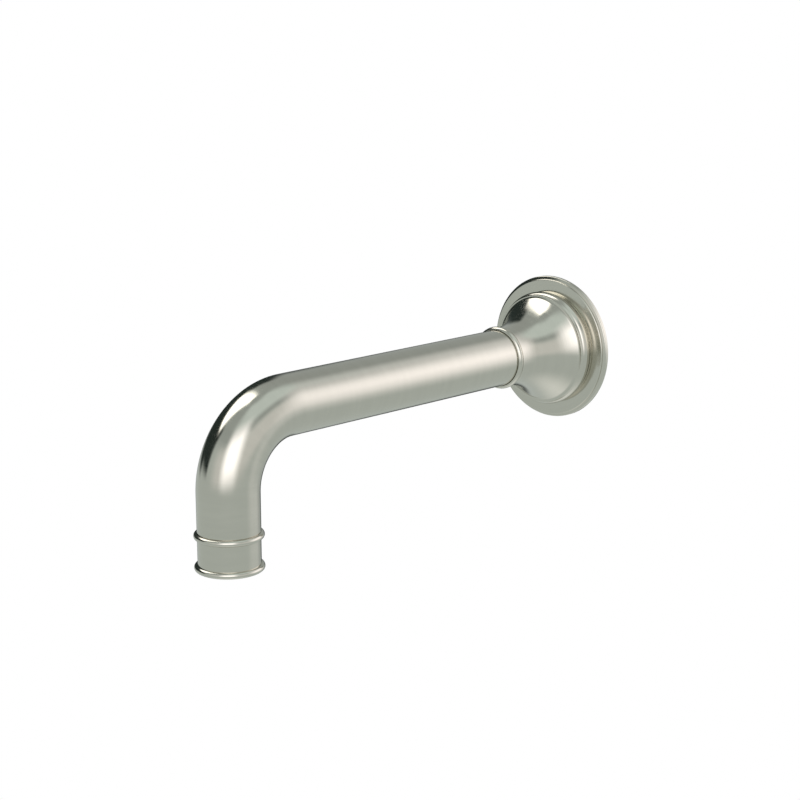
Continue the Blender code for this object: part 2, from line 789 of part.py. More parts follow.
def aerator_inserts():
    """The pieces stacked in the housing, from the washer on top to the flow straightener."""
    washer_top = AERATOR_SEAT + SEAT_GAP
    profile = [
        (AERATOR_WASHER_BORE, washer_top),
        (HOUSING_THREAD_ROOT, washer_top),
        (HOUSING_THREAD_ROOT, HOUSING_TOP - SEAT_GAP),
        (AERATOR_WASHER_BORE, HOUSING_TOP - SEAT_GAP),
    ]
    rubber = soft("aerator_washer", BLACK_RUBBER, RUBBER)
    turned("aerator_washer", profile, DOWN_OUTLET, rubber)

    aerator_screen(HOUSING_TOP + INSERT_GAP)
    top = HOUSING_TOP + 2 * INSERT_GAP + SCREEN_FLANGE

    pierced_disc(
        "aerator_jet_plate",
        top,
        JET_PLATE_HEIGHT,
        soft("aerator_jet_plate", GREY_PLASTIC, PLASTIC),
        circle_centres(JET_COUNT, JET_CIRCLE),
        JET_RADIUS,
        SMALL_HOLE_SIDES,
    )
    top += JET_PLATE_HEIGHT + INSERT_GAP

    pierced_disc(
        "aerator_mixer",
        top,
        MIXER_HEIGHT,
        soft("aerator_mixer", WHITE_PLASTIC, PLASTIC),
        circle_centres(MIXER_PASSAGES, MIXER_CIRCLE),
        MIXER_PASSAGE_RADIUS,
        LARGE_HOLE_SIDES,
    )
    top += MIXER_HEIGHT + INSERT_GAP

    pierced_disc(
        "aerator_mesh",
        top,
        MESH_HEIGHT,
        metal("aerator_mesh", STEEL, MACHINED),
        grid_centres(MESH_PITCH, INSERT_RADIUS - MESH_HOLE),
        MESH_HOLE / math.sqrt(2),
        SQUARE,
    )
    top += MESH_HEIGHT + INSERT_GAP

    bottom = HOUSING_END - HOUSING_LIP_HEIGHT - INSERT_GAP
    pierced_disc(
        "flow_straightener",
        top,
        bottom - top,
        soft("flow_straightener", GREY_PLASTIC, PLASTIC),
        honeycomb_centres(),
        hexagon_corner(CELL_WIDTH),
        HEXAGON,
    )


def main():
    clear_scene()
    tube = spout_tube()
    inlet_nipple()
    inlet_seals()
    spout_socket(tube)
    grub_screw()
    wall_plate()
    bell_flange()
    flange_backing()
    outlet_collar()
    aerator_housing()
    aerator_inserts()


main()
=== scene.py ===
"""Finished look of a wall-mounted bath spout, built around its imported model.

Every piece is turned, swept or carved here at full fineness and takes the place of its plain CAD
node. Lengths in the outlines are millimetres, measured along the axis of the piece: away from the
wall for the pieces round the inlet, and downwards for those in the outlet.
"""

import logging
import math
from collections.abc import Callable, Iterator, Sequence
from dataclasses import dataclass, field, replace
from enum import Enum

import bmesh
import bpy
from mathutils import Matrix, Vector


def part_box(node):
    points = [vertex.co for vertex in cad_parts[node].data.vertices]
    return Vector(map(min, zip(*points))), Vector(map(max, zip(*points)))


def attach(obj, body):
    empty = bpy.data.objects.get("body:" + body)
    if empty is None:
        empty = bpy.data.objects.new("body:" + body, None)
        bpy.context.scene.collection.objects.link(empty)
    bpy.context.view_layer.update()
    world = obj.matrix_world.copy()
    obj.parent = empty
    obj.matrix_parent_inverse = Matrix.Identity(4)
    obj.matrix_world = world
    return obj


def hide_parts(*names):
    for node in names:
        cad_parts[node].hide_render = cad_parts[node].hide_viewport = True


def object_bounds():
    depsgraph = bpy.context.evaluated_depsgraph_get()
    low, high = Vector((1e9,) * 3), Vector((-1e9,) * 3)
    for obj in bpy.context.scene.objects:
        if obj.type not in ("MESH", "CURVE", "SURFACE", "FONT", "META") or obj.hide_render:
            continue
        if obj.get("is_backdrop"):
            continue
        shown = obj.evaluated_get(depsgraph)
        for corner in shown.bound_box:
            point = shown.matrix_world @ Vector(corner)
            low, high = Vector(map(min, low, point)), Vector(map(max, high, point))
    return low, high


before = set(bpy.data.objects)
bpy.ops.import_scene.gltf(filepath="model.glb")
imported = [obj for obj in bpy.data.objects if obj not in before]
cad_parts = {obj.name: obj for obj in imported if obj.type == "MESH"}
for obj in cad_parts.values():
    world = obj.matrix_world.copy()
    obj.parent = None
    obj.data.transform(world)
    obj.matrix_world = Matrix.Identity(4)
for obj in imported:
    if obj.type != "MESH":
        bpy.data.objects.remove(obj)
CAD_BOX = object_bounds()

LOG = logging.getLogger("bath_spout")
MM = 0.001
FULL_TURN = 2 * math.pi

Colour = tuple[float, float, float]
Spot = tuple[float, float]
Piece = bpy.types.Object
Tree = bpy.types.NodeTree
Socket = bpy.types.NodeSocket
Vert = bmesh.types.BMVert
Verts = list[Vert]
Value = Socket | float | Sequence[float]

# Roundings of turned corners, in millimetres.
CRISP, FINE, USUAL, EASED, SOFT, FULL = 0.1, 0.15, 0.2, 0.25, 0.3, 0.4
# Gap between pieces that touch, and how far a carving tool reaches past a piece.
GAP, CLEAR = 0.1, 1.0
WHITE = (1, 1, 1, 1)


@dataclass(frozen=True)
class Extent:
    """Outer radius of a turned CAD node and where it begins and ends, in millimetres."""

    radius: float
    near: float
    far: float

    def middle(self) -> float:
        """Middle of the node along its axis."""
        return (self.near + self.far) / 2


def extent(node: str, along: int = 1) -> Extent:
    """Works out the extent of a CAD node at rest.

    Args:
        node: name of the CAD node.
        along: 1 for a node on the inlet's axis, 2 for a node on the outlet's.

    Returns:
        Its outer radius and its ends.
    """
    low, high = (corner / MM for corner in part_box(node))
    return Extent(high.x, -high[along], -low[along])


REACH = extent("outlet_collar").middle()
SCREW_DEPTH = extent("grub_screw").middle()


class Axis(Enum):
    """Axis a turned piece is made on, as the matrix that puts it in its place."""

    FROM_WALL = Matrix.Rotation(math.radians(90), 4, "X")
    DOWN_OUTLET = Matrix.Translation((0, -REACH * MM, 0)) @ Matrix.Rotation(math.pi, 4, "X")
    DOWN_SCREW = Matrix.Translation((0, -SCREW_DEPTH * MM, 0)) @ Matrix.Rotation(math.pi, 4, "X")


class Slot(Enum):
    """Material slots of the record."""

    NICKEL = "satin_nickel"
    BRASS = "raw_brass"
    RUBBER = "black_rubber"
    FOAM = "gasket_foam"
    STEEL = "screw_steel"
    WHITE_PLASTIC = "white_plastic"
    GREY_PLASTIC = "grey_plastic"


class Grain(Enum):
    """Names of the values that each mesh carries for its materials."""

    PLACE = "grain_place"
    EDGE = "grain_edge"


@dataclass(frozen=True)
class Thread:
    """A right-hand screw thread: its first place along the axis and its sizes, in millimetres."""

    start: float
    pitch: float
    turns: int
    root: float
    crest: float

    def end(self) -> float:
        """Where the thread's last edge ends along the axis."""
        return self.start + (self.turns + 1) * self.pitch


THREAD_FORM = (
    (0.0, 0.0),
    (0.14, 0.0),
    (0.28, 0.03),
    (0.33, 0.12),
    (0.47, 0.88),
    (0.52, 0.97),
    (0.65, 1.0),
    (0.78, 0.97),
    (0.83, 0.88),
    (0.97, 0.12),
)
THREAD_RUN_OUT = 0.2
# Angles of an O-ring's outline, whose last point closes it.
RING_ARC = (0, 345)
WASHER_ROUNDS = (USUAL, EASED, EASED, USUAL)
ON_AXIS = ((0.0, 0.0),)
# The hole that lets the grub screw through the tube and the socket.
SCREW_HOLE_RADIUS = 2.6
SCREW_HOLE_ENDS = (2, 14)


@dataclass(frozen=True)
class Corner:
    """One point of a turned outline, in millimetres from the axis and along it.

    Attributes:
        rounding: radius of the round that softens the corner.
        edge: 1 on a rounded edge, where handling polishes the metal, else 0.
        thread: a screw thread that takes the place of the stretch after this point.
        curved: true for a point within a curve, which needs no guard points beside it.
    """

    radius: float
    along: float
    rounding: float = 0.0
    edge: float = 0.0
    thread: Thread | None = None
    curved: bool = False


@dataclass
class Outline:
    """A closed outline, followed in order, that is turned about an axis."""

    corners: list[Corner] = field(default_factory=list)

    GUARD = 0.12
    ARC_STEP = 9.0
    ROUND_STEP = 14.4
    ROUND_SHARE = 0.45

    def to(self, radius: float, along: float, rounding: float = 0.0) -> "Outline":
        """Adds a corner and returns the outline."""
        self.corners.append(Corner(radius, along, rounding))
        return self

    def threaded(self, radius: float, along: float, thread: Thread) -> "Outline":
        """Adds a corner whose next stretch is a screw thread and returns the outline."""
        self.corners.append(Corner(radius, along, thread=thread))
        return self

    def ring(self, inner: float, size: Extent, rounds: Sequence[float]) -> "Outline":
        """Adds the four corners of a plain ring or disc.

        Args:
            inner: radius of its bore.
            size: its outer radius and its ends.
            rounds: roundings of its corners, starting with the bore's near end.

        Returns:
            The outline itself.
        """
        outer, near, far = size.radius, size.near, size.far
        places = ((inner, near), (outer, near), (outer, far), (inner, far))
        for place, rounding in zip(places, rounds):
            self.to(*place, rounding)
        return self

    def arc(self, middle: Spot, size: float, start: float, end: float) -> "Outline":
        """Adds a round stretch.

        Args:
            middle: radius and place along the axis of the arc's middle.
            size: radius of the arc.
            start: first angle in degrees; 0 is outwards and 90 is along the axis.
            end: last angle in degrees.

        Returns:
            The outline itself.
        """
        steps = max(3, round(abs(end - start) / self.ARC_STEP))
        for step in range(steps + 1):
            angle = math.radians(start + (end - start) * step / steps)
            radius = middle[0] + size * math.cos(angle)
            along = middle[1] + size * math.sin(angle)
            self.corners.append(Corner(radius, along, curved=True))
        return self

    def curve(self, rule: Callable[[float], Spot], steps: int) -> "Outline":
        """Adds the points that a rule gives for 0 to 1 and returns the outline."""
        for step in range(steps + 1):
            self.corners.append(Corner(*rule(step / steps), curved=True))
        return self

    def _rounded(self, index: int) -> Iterator[Corner]:
        """Gives the points that stand for one corner, with its round if it has one."""
        here = self.corners[index]
        if not here.rounding:
            yield here
            return
        spot = Vector((here.radius, here.along))
        before, after = (
            Vector((corner.radius, corner.along)) - spot
            for corner in (self.corners[index - 1], self.corners[(index + 1) % len(self.corners)])
        )
        opening = before.angle(after)
        reach = here.rounding / math.tan(opening / 2)
        reach = min(reach, before.length * self.ROUND_SHARE, after.length * self.ROUND_SHARE)
        size = reach * math.tan(opening / 2)
        first = spot + before.normalized() * reach
        last = spot + after.normalized() * reach
        middle = spot + (before.normalized() + after.normalized()).normalized() * (
            size / math.sin(opening / 2)
        )
        steps = max(2, round(math.degrees(math.pi - opening) / self.ROUND_STEP))
        start = first - middle
        sweep = start.angle_signed(last - middle)
        for step in range(steps + 1):
            spoke = start.copy()
            spoke.rotate(Matrix.Rotation(-sweep * step / steps, 2))
            yield Corner(*(middle + spoke), edge=1.0, curved=True)

    def points(self) -> list[Corner]:
        """Works out the finished points.

        Returns:
            The outline with its rounds, and with guard points that keep flat stretches flat
            beside them.
        """
        soft = [point for index in range(len(self.corners)) for point in self._rounded(index)]
        finished = []
        for here, after in zip(soft, soft[1:] + soft[:1]):
            finished.append(here)
            step = Vector((after.radius - here.radius, after.along - here.along))
            within = here.curved and after.curved and step.length < 4 * self.GUARD
            if here.thread or within or step.length < 3 * self.GUARD:
                continue
            guard = step.normalized() * self.GUARD
            finished.append(Corner(here.radius + guard.x, here.along + guard.y))
            finished.append(Corner(after.radius - guard.x, after.along - guard.y))
        return finished


class Lathe:
    """Turns closed outlines into solid meshes that carry the values of their grain.

    A thread fades in and out over a turn divided by FADES.
    """

    SHARP = math.radians(32)
    NO_RADIUS = 1e-6
    FADES = 3

    def __init__(self, around: int = 144) -> None:
        """Sets up an empty mesh.

        Args:
            around: number of points round the axis.
        """
        self.around = around
        self.mesh = bmesh.new()
        self.place = self.mesh.verts.layers.float_vector.new(Grain.PLACE.value)
        self.edge = self.mesh.verts.layers.float.new(Grain.EDGE.value)

    def point(
        self, radius: float, turn: float, along: float, travel: float, edge: float = 0.0
    ) -> Vert:
        """Adds one point and stores its place in the grain.

        Args:
            radius: distance from the axis, in millimetres.
            turn: angle round the axis, in radians.
            along: place along the axis, in millimetres.
            travel: distance along the outline, across the grain's lines.
            edge: 1 on a rounded edge.

        Returns:
            The new mesh point.
        """
        across, up = radius * math.cos(turn), radius * math.sin(turn)
        vert = self.mesh.verts.new(Vector((across, up, along)) * MM)
        vert[self.place] = Vector((across, up, travel)) * MM
        vert[self.edge] = edge
        return vert

    def ring(self, corner: Corner, travel: float) -> Verts:
        """Adds a ring of points, or one point on the axis itself."""
        if corner.radius < self.NO_RADIUS:
            return [self.point(0, 0, corner.along, travel)]
        turns = (FULL_TURN * step / self.around for step in range(self.around))
        args = (corner.along, travel, corner.edge)
        return [self.point(corner.radius, turn, *args) for turn in turns]

    def bridge(self, first: Verts, second: Verts) -> None:
        """Adds the faces between two rings, either of which may be a single point."""
        count = max(len(first), len(second))
        for step in range(count if count > 1 else 0):
            after = (step + 1) % count
            low = [first[0]] if len(first) == 1 else [first[step], first[after]]
            high = [second[0]] if len(second) == 1 else [second[after], second[step]]
            self.mesh.faces.new(low + high)

    def thread(self, near: Verts, far: Verts, thread: Thread, travel: float) -> None:
        """Joins two rings by a screw thread that fades in and out at its ends.

        Args:
            near: ring at the end where the thread starts.
            far: ring at the other end.
            thread: sizes of the thread.
            travel: distance along the outline at the near ring.
        """
        last = thread.turns * self.around
        fade = self.around / self.FADES
        rows: list[Verts] = []
        for step in range(last + self.around + 1):
            turn = FULL_TURN * step / self.around
            amount = max(0.0, min(1.0, step / fade, (last - step) / fade))
            row = []
            for shift, height in THREAD_FORM if step <= last else THREAD_FORM[:1]:
                radius = thread.root + (thread.crest - thread.root) * height * amount
                rise = thread.pitch * (step / self.around + shift)
                edge = height * amount
                row.append(self.point(radius, turn, thread.start + rise, travel + rise, edge))
            rows.append(row)
        new_face = self.mesh.faces.new
        for step in range(last):
            here = rows[step] + rows[step + self.around][:1]
            after = rows[step + 1] + rows[step + 1 + self.around][:1]
            for low in range(len(THREAD_FORM)):
                new_face((here[low], after[low], after[low + 1], here[low + 1]))
        for step in range(self.around - 1):
            new_face((near[step], near[step + 1], rows[step + 1][0], rows[step][0]))
        turn_end = rows[self.around][0]
        new_face([near[-1], near[0], *rows[0], turn_end, rows[self.around - 1][0]])
        for step in range(last + 1, last + self.around):
            spot = step % self.around
            after = (spot + 1) % self.around
            new_face((rows[step][0], rows[step + 1][0], far[after], far[spot]))
        closing = [rows[last][0], rows[last + 1][0], far[1], far[0]]
        new_face([*closing, rows[last + self.around][0], *reversed(rows[last][1:])])

    def turn(self, outline: Outline) -> "Lathe":
        """Turns an outline and returns the lathe."""
        points = outline.points()
        travel = 0.0
        travels = []
        for here, after in zip(points, points[1:] + points[:1]):
            travels.append(travel)
            travel += math.hypot(after.radius - here.radius, after.along - here.along)
        rings = [self.ring(point, place) for point, place in zip(points, travels)]
        for index, point in enumerate(points):
            after = (index + 1) % len(points)
            if point.thread:
                low, high = sorted((index, after), key=lambda spot: points[spot].along)
                self.thread(rings[low], rings[high], point.thread, travels[index])
            elif len(rings[index]) + len(rings[after]) > 2:
                self.bridge(rings[index], rings[after])
        return self

    def finish(self, name: str, place: Matrix) -> Piece:
        """Makes the object.

        Args:
            name: name of the piece.
            place: matrix that puts it in its place.

        Returns:
            The new object, with its place worked into its mesh.
        """
        bmesh.ops.recalc_face_normals(self.mesh, faces=self.mesh.faces)
        piece = placed(name, self.mesh, place)
        piece.data.shade_smooth()
        piece.data.set_sharp_from_angle(angle=self.SHARP)
        return piece


def placed(name: str, mesh: bmesh.types.BMesh, place: Matrix) -> Piece:
    """Makes an object of a mesh, which is used up, with its place worked in.

    Args:
        name: name of the object.
        mesh: the mesh in work.
        place: matrix that puts it in its place.

    Returns:
        The new object, in the scene.
    """
    data = bpy.data.meshes.new(name)
    mesh.to_mesh(data)
    mesh.free()
    data.transform(place)
    piece = bpy.data.objects.new(name, data)
    bpy.context.scene.collection.objects.link(piece)
    return piece


def turned(name: str, outline: Outline, axis: Axis, around: int = 144) -> Piece:
    """Turns one piece on its axis.

    Args:
        name: name of the piece.
        outline: its closed outline.
        axis: the axis it is turned on.
        around: number of points round the axis.

    Returns:
        The finished object.
    """
    return Lathe(around).turn(outline).finish(name, axis.value)


def carve(piece: Piece, mesh: bmesh.types.BMesh, axis: Axis) -> None:
    """Carves a mesh, which is used up, out of a piece.

    Args:
        piece: the piece that is cut.
        mesh: what is taken away, made on an axis.
        axis: that axis.
    """
    tool = placed("tool", mesh, axis.value)
    modifier = piece.modifiers.new("carve", "BOOLEAN")
    modifier.operation = "DIFFERENCE"
    modifier.solver = "EXACT"
    modifier.object = tool
    bpy.context.view_layer.update()
    graph = bpy.context.evaluated_depsgraph_get()
    carved = bpy.data.meshes.new_from_object(piece.evaluated_get(graph))
    piece.modifiers.clear()
    piece.data = carved
    carved.set_sharp_from_angle(angle=Lathe.SHARP)
    bpy.data.objects.remove(tool, do_unlink=True)


def drill(
    piece: Piece, ends: Spot, axis: Axis, radius: float, sides: int, spots: Sequence[Spot] = ON_AXIS
) -> None:
    """Sinks round or many-sided holes in a piece.

    Args:
        piece: the piece that is cut.
        ends: where the holes begin and end along the axis.
        axis: the axis they run along.
        radius: corner radius of a hole.
        sides: number of sides of a hole.
        spots: middles of the holes, across the axis.
    """
    mesh = bmesh.new()
    near, far = ends
    size = {"radius1": radius * MM, "radius2": radius * MM, "depth": (far - near) * MM}
    for across, up in spots:
        place = Matrix.Translation(Vector((across, up, (near + far) / 2)) * MM)
        bmesh.ops.create_cone(mesh, cap_ends=True, segments=sides, matrix=place, **size)
    carve(piece, mesh, axis)


def notch(piece: Piece, ends: Spot, axis: Axis, count: int, middle: float, block: Spot) -> None:
    """Cuts notches set round the axis in a piece.

    Args:
        piece: the piece that is cut.
        ends: where the notches begin and end along the axis.
        axis: the axis that they stand round.
        count: number of notches.
        middle: distance of a notch's middle from the axis.
        block: length of a notch away from the axis, and its width.
    """
    mesh = bmesh.new()
    length, width = block
    for step in range(count):
        turn = Matrix.Rotation(FULL_TURN * step / count, 4, "Z")
        shift = Matrix.Translation(Vector((middle, 0, sum(ends) / 2)) * MM)
        size = Matrix.Diagonal((length * MM, width * MM, (ends[1] - ends[0]) * MM, 1))
        bmesh.ops.create_cube(mesh, size=1, matrix=turn @ shift @ size)
    carve(piece, mesh, axis)


def ring_of_spots(count: int, radius: float) -> list[Spot]:
    """Middles of equally spaced holes on a circle."""
    turns = (FULL_TURN * step / count for step in range(count))
    return [(radius * math.cos(turn), radius * math.sin(turn)) for turn in turns]


def hexagon_corner(width: float) -> float:
    """Corner radius of a hexagon of this width across its flats."""
    return width / math.sqrt(3)


class Sheet:
    """Short ways to lay out the nodes of a material or a node group."""

    def __init__(self, tree: Tree) -> None:
        """Takes the node tree to work on.

        Args:
            tree: tree of a material, a world or a group.
        """
        self.tree = tree

    def put(self, socket: Socket, value: Value) -> None:
        """Links an input to a socket, or sets it to anything else."""
        if isinstance(value, Socket):
            self.tree.links.new(value, socket)
        else:
            socket.default_value = value

    def add(self, kind: str, settings: dict | None = None, **inputs: Value) -> bpy.types.Node:
        """Adds a node.

        Args:
            kind: the node's type name.
            settings: properties of the node.
            **inputs: what goes into its inputs, by name with spaces as underscores, or by
                number as i0, i1 and so on.

        Returns:
            The new node.
        """
        node = self.tree.nodes.new(kind)
        for name, value in (settings or {}).items():
            setattr(node, name, value)
        for name, value in inputs.items():
            numbered = name[0] == "i" and name[1:].isdigit()
            self.put(node.inputs[int(name[1:]) if numbered else name.replace("_", " ")], value)
        return node

    def math(self, operation: str, *values: Value) -> Socket:
        """Adds a Math node and returns its output."""
        inputs = {f"i{index}": value for index, value in enumerate(values)}
        return self.add("ShaderNodeMath", {"operation": operation}, **inputs).outputs[0]

    def ramp(self, value: Value, low: float, high: float) -> Socket:
        """Spreads the values between low and high smoothly over 0 to 1 and returns the output."""
        settings = {"interpolation_type": "SMOOTHSTEP"}
        inputs = {"i0": value, "i1": low, "i2": high, "i3": 0.0, "i4": 1.0}
        return self.add("ShaderNodeMapRange", settings, **inputs).outputs[0]

    def blend(self, amount: Value, first: Value, second: Value) -> Socket:
        """Mixes two colours by an amount and returns the output."""
        inputs = {"i0": amount, "i6": first, "i7": second}
        return self.add("ShaderNodeMix", {"data_type": "RGBA"}, **inputs).outputs[2]

    def noise(self, place: Value, scale: Value, detail: float) -> Socket:
        """Adds a noise and returns its output."""
        inputs = {"Vector": place, "Scale": scale, "Detail": detail}
        return self.add("ShaderNodeTexNoise", **inputs).outputs[0]

    def stretch(self, place: Value, by: Value) -> Socket:
        """Multiplies a place by a vector and returns the output."""
        return self.add("ShaderNodeVectorMath", {"operation": "MULTIPLY"}, i0=place, i1=by).outputs[0]

    def group(self, tree: Tree, **inputs: Value) -> bpy.types.NodeOutputs:
        """Adds a shared group, which starts from the mesh's own grain, and returns its outputs."""
        place = self.add("ShaderNodeAttribute", {"attribute_name": Grain.PLACE.value})
        inputs["Place"] = place.outputs["Vector"]
        return self.add("ShaderNodeGroup", {"node_tree": tree}, **inputs).outputs

    def bump(self, height: Socket, depth: float) -> Socket:
        """Adds a bump of a depth in millimetres and returns its normal."""
        inputs = {"Height": height, "Distance": depth * MM, "Strength": 1.0}
        return self.add("ShaderNodeBump", **inputs).outputs[0]

    def seen_or(self, other: Socket, seen: Socket) -> Socket:
        """Mixes a shader for what the camera sees into another and returns the output."""
        camera_ray = self.add("ShaderNodeLightPath").outputs["Is Camera Ray"]
        return self.add("ShaderNodeMixShader", i0=camera_ray, i1=other, i2=seen).outputs[0]


def new_group(name: str, inputs: dict[str, float], outputs: Sequence[str]) -> tuple[Sheet, dict]:
    """Starts a shader node group of plain numbers.

    Args:
        name: name of the group.
        inputs: names of its number inputs with their usual values, beside the vector Place.
        outputs: names of the number outputs.

    Returns:
        The sheet to work on and the group's ends, by "in" and "out".
    """
    tree = bpy.data.node_groups.new(name, "ShaderNodeTree")
    tree.interface.new_socket("Place", in_out="INPUT", socket_type="NodeSocketVector")
    for title, usual in inputs.items():
        socket = tree.interface.new_socket(title, in_out="INPUT", socket_type="NodeSocketFloat")
        socket.default_value = usual
    for title in outputs:
        tree.interface.new_socket(title, in_out="OUTPUT", socket_type="NodeSocketFloat")
    sheet = Sheet(tree)
    ends = {"in": sheet.add("NodeGroupInput").outputs, "out": sheet.add("NodeGroupOutput").inputs}
    return sheet, ends


class Effects:
    """Node groups that more than one finish uses, each built once."""

    BAND_STRETCH = (0.4, 0.4, 0.17)
    BAND_HEIGHT = 0.6
    BAND_RANGE = (0.3, 0.7)
    SMUDGE_SCALE = 90.0
    SMUDGE_RANGE = (0.42, 0.68)
    SPECK_SCALE = 900.0
    SPECK_RANGE = (0.35, 0.6)
    NOISE_HEIGHT = 0.5
    PATCH_SCALE = 0.06
    PATCH_RANGE = (0.35, 0.65)

    def __init__(self) -> None:
        """Builds every group."""
        self.streaks = self._streaks()
        self.handling = self._handling()
        self.mottle = self._mottle()

    def _streaks(self) -> Tree:
        """Fine lines that run round a turned or brushed surface.

        Returns:
            A group with the lines' height and a slow mask of lighter and darker bands.
        """
        usual = {"Line Width": 0.1, "Line Length": 8.0}
        sheet, ends = new_group("brushed_streaks", usual, ("Height", "Bands"))
        across = sheet.math("DIVIDE", 1 / MM, ends["in"]["Line Width"])
        around = sheet.math("DIVIDE", 1 / MM, ends["in"]["Line Length"])
        size = sheet.add("ShaderNodeCombineXYZ", X=around, Y=around, Z=across).outputs[0]
        fine = sheet.stretch(ends["in"]["Place"], size)
        lines = sheet.noise(fine, 1.0, 2.0)
        bands = sheet.noise(sheet.stretch(fine, self.BAND_STRETCH), 1.0, 3.0)
        sheet.put(ends["out"]["Height"], sheet.math("MULTIPLY_ADD", bands, self.BAND_HEIGHT, lines))
        sheet.put(ends["out"]["Bands"], sheet.ramp(bands, *self.BAND_RANGE))
        return sheet.tree

    def _handling(self) -> Tree:
        """Faint marks of fingers and cloths, and the polish on rubbed edges.

        Returns:
            A group with a cloud of smudges and an edge mask that is broken up by them.
        """
        sheet, ends = new_group("handling_marks", {"Edge": 0.0}, ("Smudge", "Rub"))
        cloud = sheet.noise(ends["in"]["Place"], self.SMUDGE_SCALE, 4.0)
        specks = sheet.noise(ends["in"]["Place"], self.SPECK_SCALE, 2.0)
        broken = sheet.ramp(specks, *self.SPECK_RANGE)
        sheet.put(ends["out"]["Smudge"], sheet.ramp(cloud, *self.SMUDGE_RANGE))
        sheet.put(ends["out"]["Rub"], sheet.math("MULTIPLY", ends["in"]["Edge"], broken))
        return sheet.tree

    def _mottle(self) -> Tree:
        """Small pits and slow patches of a moulded or foamed surface.

        Returns:
            A group with the pits' height and a mask of patches.
        """
        sheet, ends = new_group("moulded_mottle", {"Pit Size": 0.2}, ("Height", "Patch"))
        scale = sheet.math("DIVIDE", 1 / MM, ends["in"]["Pit Size"])
        place = ends["in"]["Place"]
        settings = {"feature": "SMOOTH_F1"}
        cells = sheet.add("ShaderNodeTexVoronoi", settings, Vector=place, Scale=scale).outputs[0]
        noise = sheet.noise(place, scale, 3.0)
        patch = sheet.noise(place, sheet.math("MULTIPLY", scale, self.PATCH_SCALE), 2.0)
        height = sheet.math("MULTIPLY_ADD", noise, self.NOISE_HEIGHT, cells)
        sheet.put(ends["out"]["Height"], height)
        sheet.put(ends["out"]["Patch"], sheet.ramp(patch, *self.PATCH_RANGE))
        return sheet.tree


def plain_sheet(name: str) -> tuple[bpy.types.Material, Sheet, bpy.types.Node]:
    """Starts a material with one Principled shader.

    Args:
        name: name of the material.

    Returns:
        The material, the sheet to work on and the shader.
    """
    material = bpy.data.materials.new(name)
    material.use_nodes = True
    return material, Sheet(material.node_tree), material.node_tree.nodes["Principled BSDF"]


def shade(colour: Colour, amount: float) -> tuple[float, float, float, float]:
    """A colour made lighter or darker by an amount, as a socket takes it."""
    return (*(min(1.0, part * amount) for part in colour), 1.0)


@dataclass(frozen=True)
class MetalFinish:
    """Turned, brushed or plated metal.

    Attributes:
        slot: the record's material slot.
        colour: colour of the bare metal.
        roughness: usual roughness.
        unevenness: how much the bands change the roughness.
        tone: how much the bands change the colour.
        line_width: width of the brushed lines, in millimetres.
        line_length: their length round the piece, in millimetres.
        line_depth: their depth, in millimetres.
        smudge: how much finger marks add to the roughness.
    """

    slot: Slot
    colour: Colour
    roughness: float
    unevenness: float
    tone: float
    line_width: float
    line_length: float
    line_depth: float
    smudge: float

    def material(self, effects: Effects) -> bpy.types.Material:
        """Lays out the material.

        Args:
            effects: the shared node groups.

        Returns:
            The new material.
        """
        material, sheet, shader = plain_sheet(self.slot.value)
        edge = sheet.add("ShaderNodeAttribute", {"attribute_name": Grain.EDGE.value}).outputs["Fac"]
        lines = {"Line_Width": self.line_width, "Line_Length": self.line_length}
        streaks = sheet.group(effects.streaks, **lines)
        marks = sheet.group(effects.handling, Edge=edge)
        low, high, worn = (shade(self.colour, 1 + part * self.tone) for part in (-1, 1, 2))
        banded = sheet.blend(streaks["Bands"], low, high)
        least, span = self.roughness - self.unevenness, 2 * self.unevenness
        uneven = sheet.math("MULTIPLY_ADD", streaks["Bands"], span, least)
        touched = sheet.math("MULTIPLY_ADD", marks["Smudge"], self.smudge, uneven)
        polished = sheet.math("MULTIPLY_ADD", marks["Rub"], -self.unevenness, touched)
        sheet.put(shader.inputs["Base Color"], sheet.blend(marks["Rub"], banded, worn))
        sheet.put(shader.inputs["Roughness"], polished)
        sheet.put(shader.inputs["Normal"], sheet.bump(streaks["Height"], self.line_depth))
        shader.inputs["Metallic"].default_value = 1.0
        return material


@dataclass(frozen=True)
class MouldedFinish:
    """Rubber, foam or plastic.

    Attributes:
        slot: the record's material slot.
        colour: colour of the stuff.
        roughness: usual roughness.
        patchiness: how much the colour changes over the piece; roughness follows by POLISH.
        pit_size: size of the pits, in millimetres.
        pit_depth: their depth, in millimetres.
    """

    slot: Slot
    colour: Colour
    roughness: float
    patchiness: float
    pit_size: float
    pit_depth: float

    POLISH = 0.3

    def material(self, effects: Effects) -> bpy.types.Material:
        """Lays out the material.

        Args:
            effects: the shared node groups.

        Returns:
            The new material.
        """
        material, sheet, shader = plain_sheet(self.slot.value)
        mottle = sheet.group(effects.mottle, Pit_Size=self.pit_size)
        low, high = (shade(self.colour, 1 + part * self.patchiness) for part in (-1, 1))
        span = -self.POLISH * self.patchiness
        rough = sheet.math("MULTIPLY_ADD", mottle["Patch"], span, self.roughness)
        sheet.put(shader.inputs["Base Color"], sheet.blend(mottle["Patch"], low, high))
        sheet.put(shader.inputs["Roughness"], rough)
        sheet.put(shader.inputs["Normal"], sheet.bump(mottle["Height"], self.pit_depth))
        return material


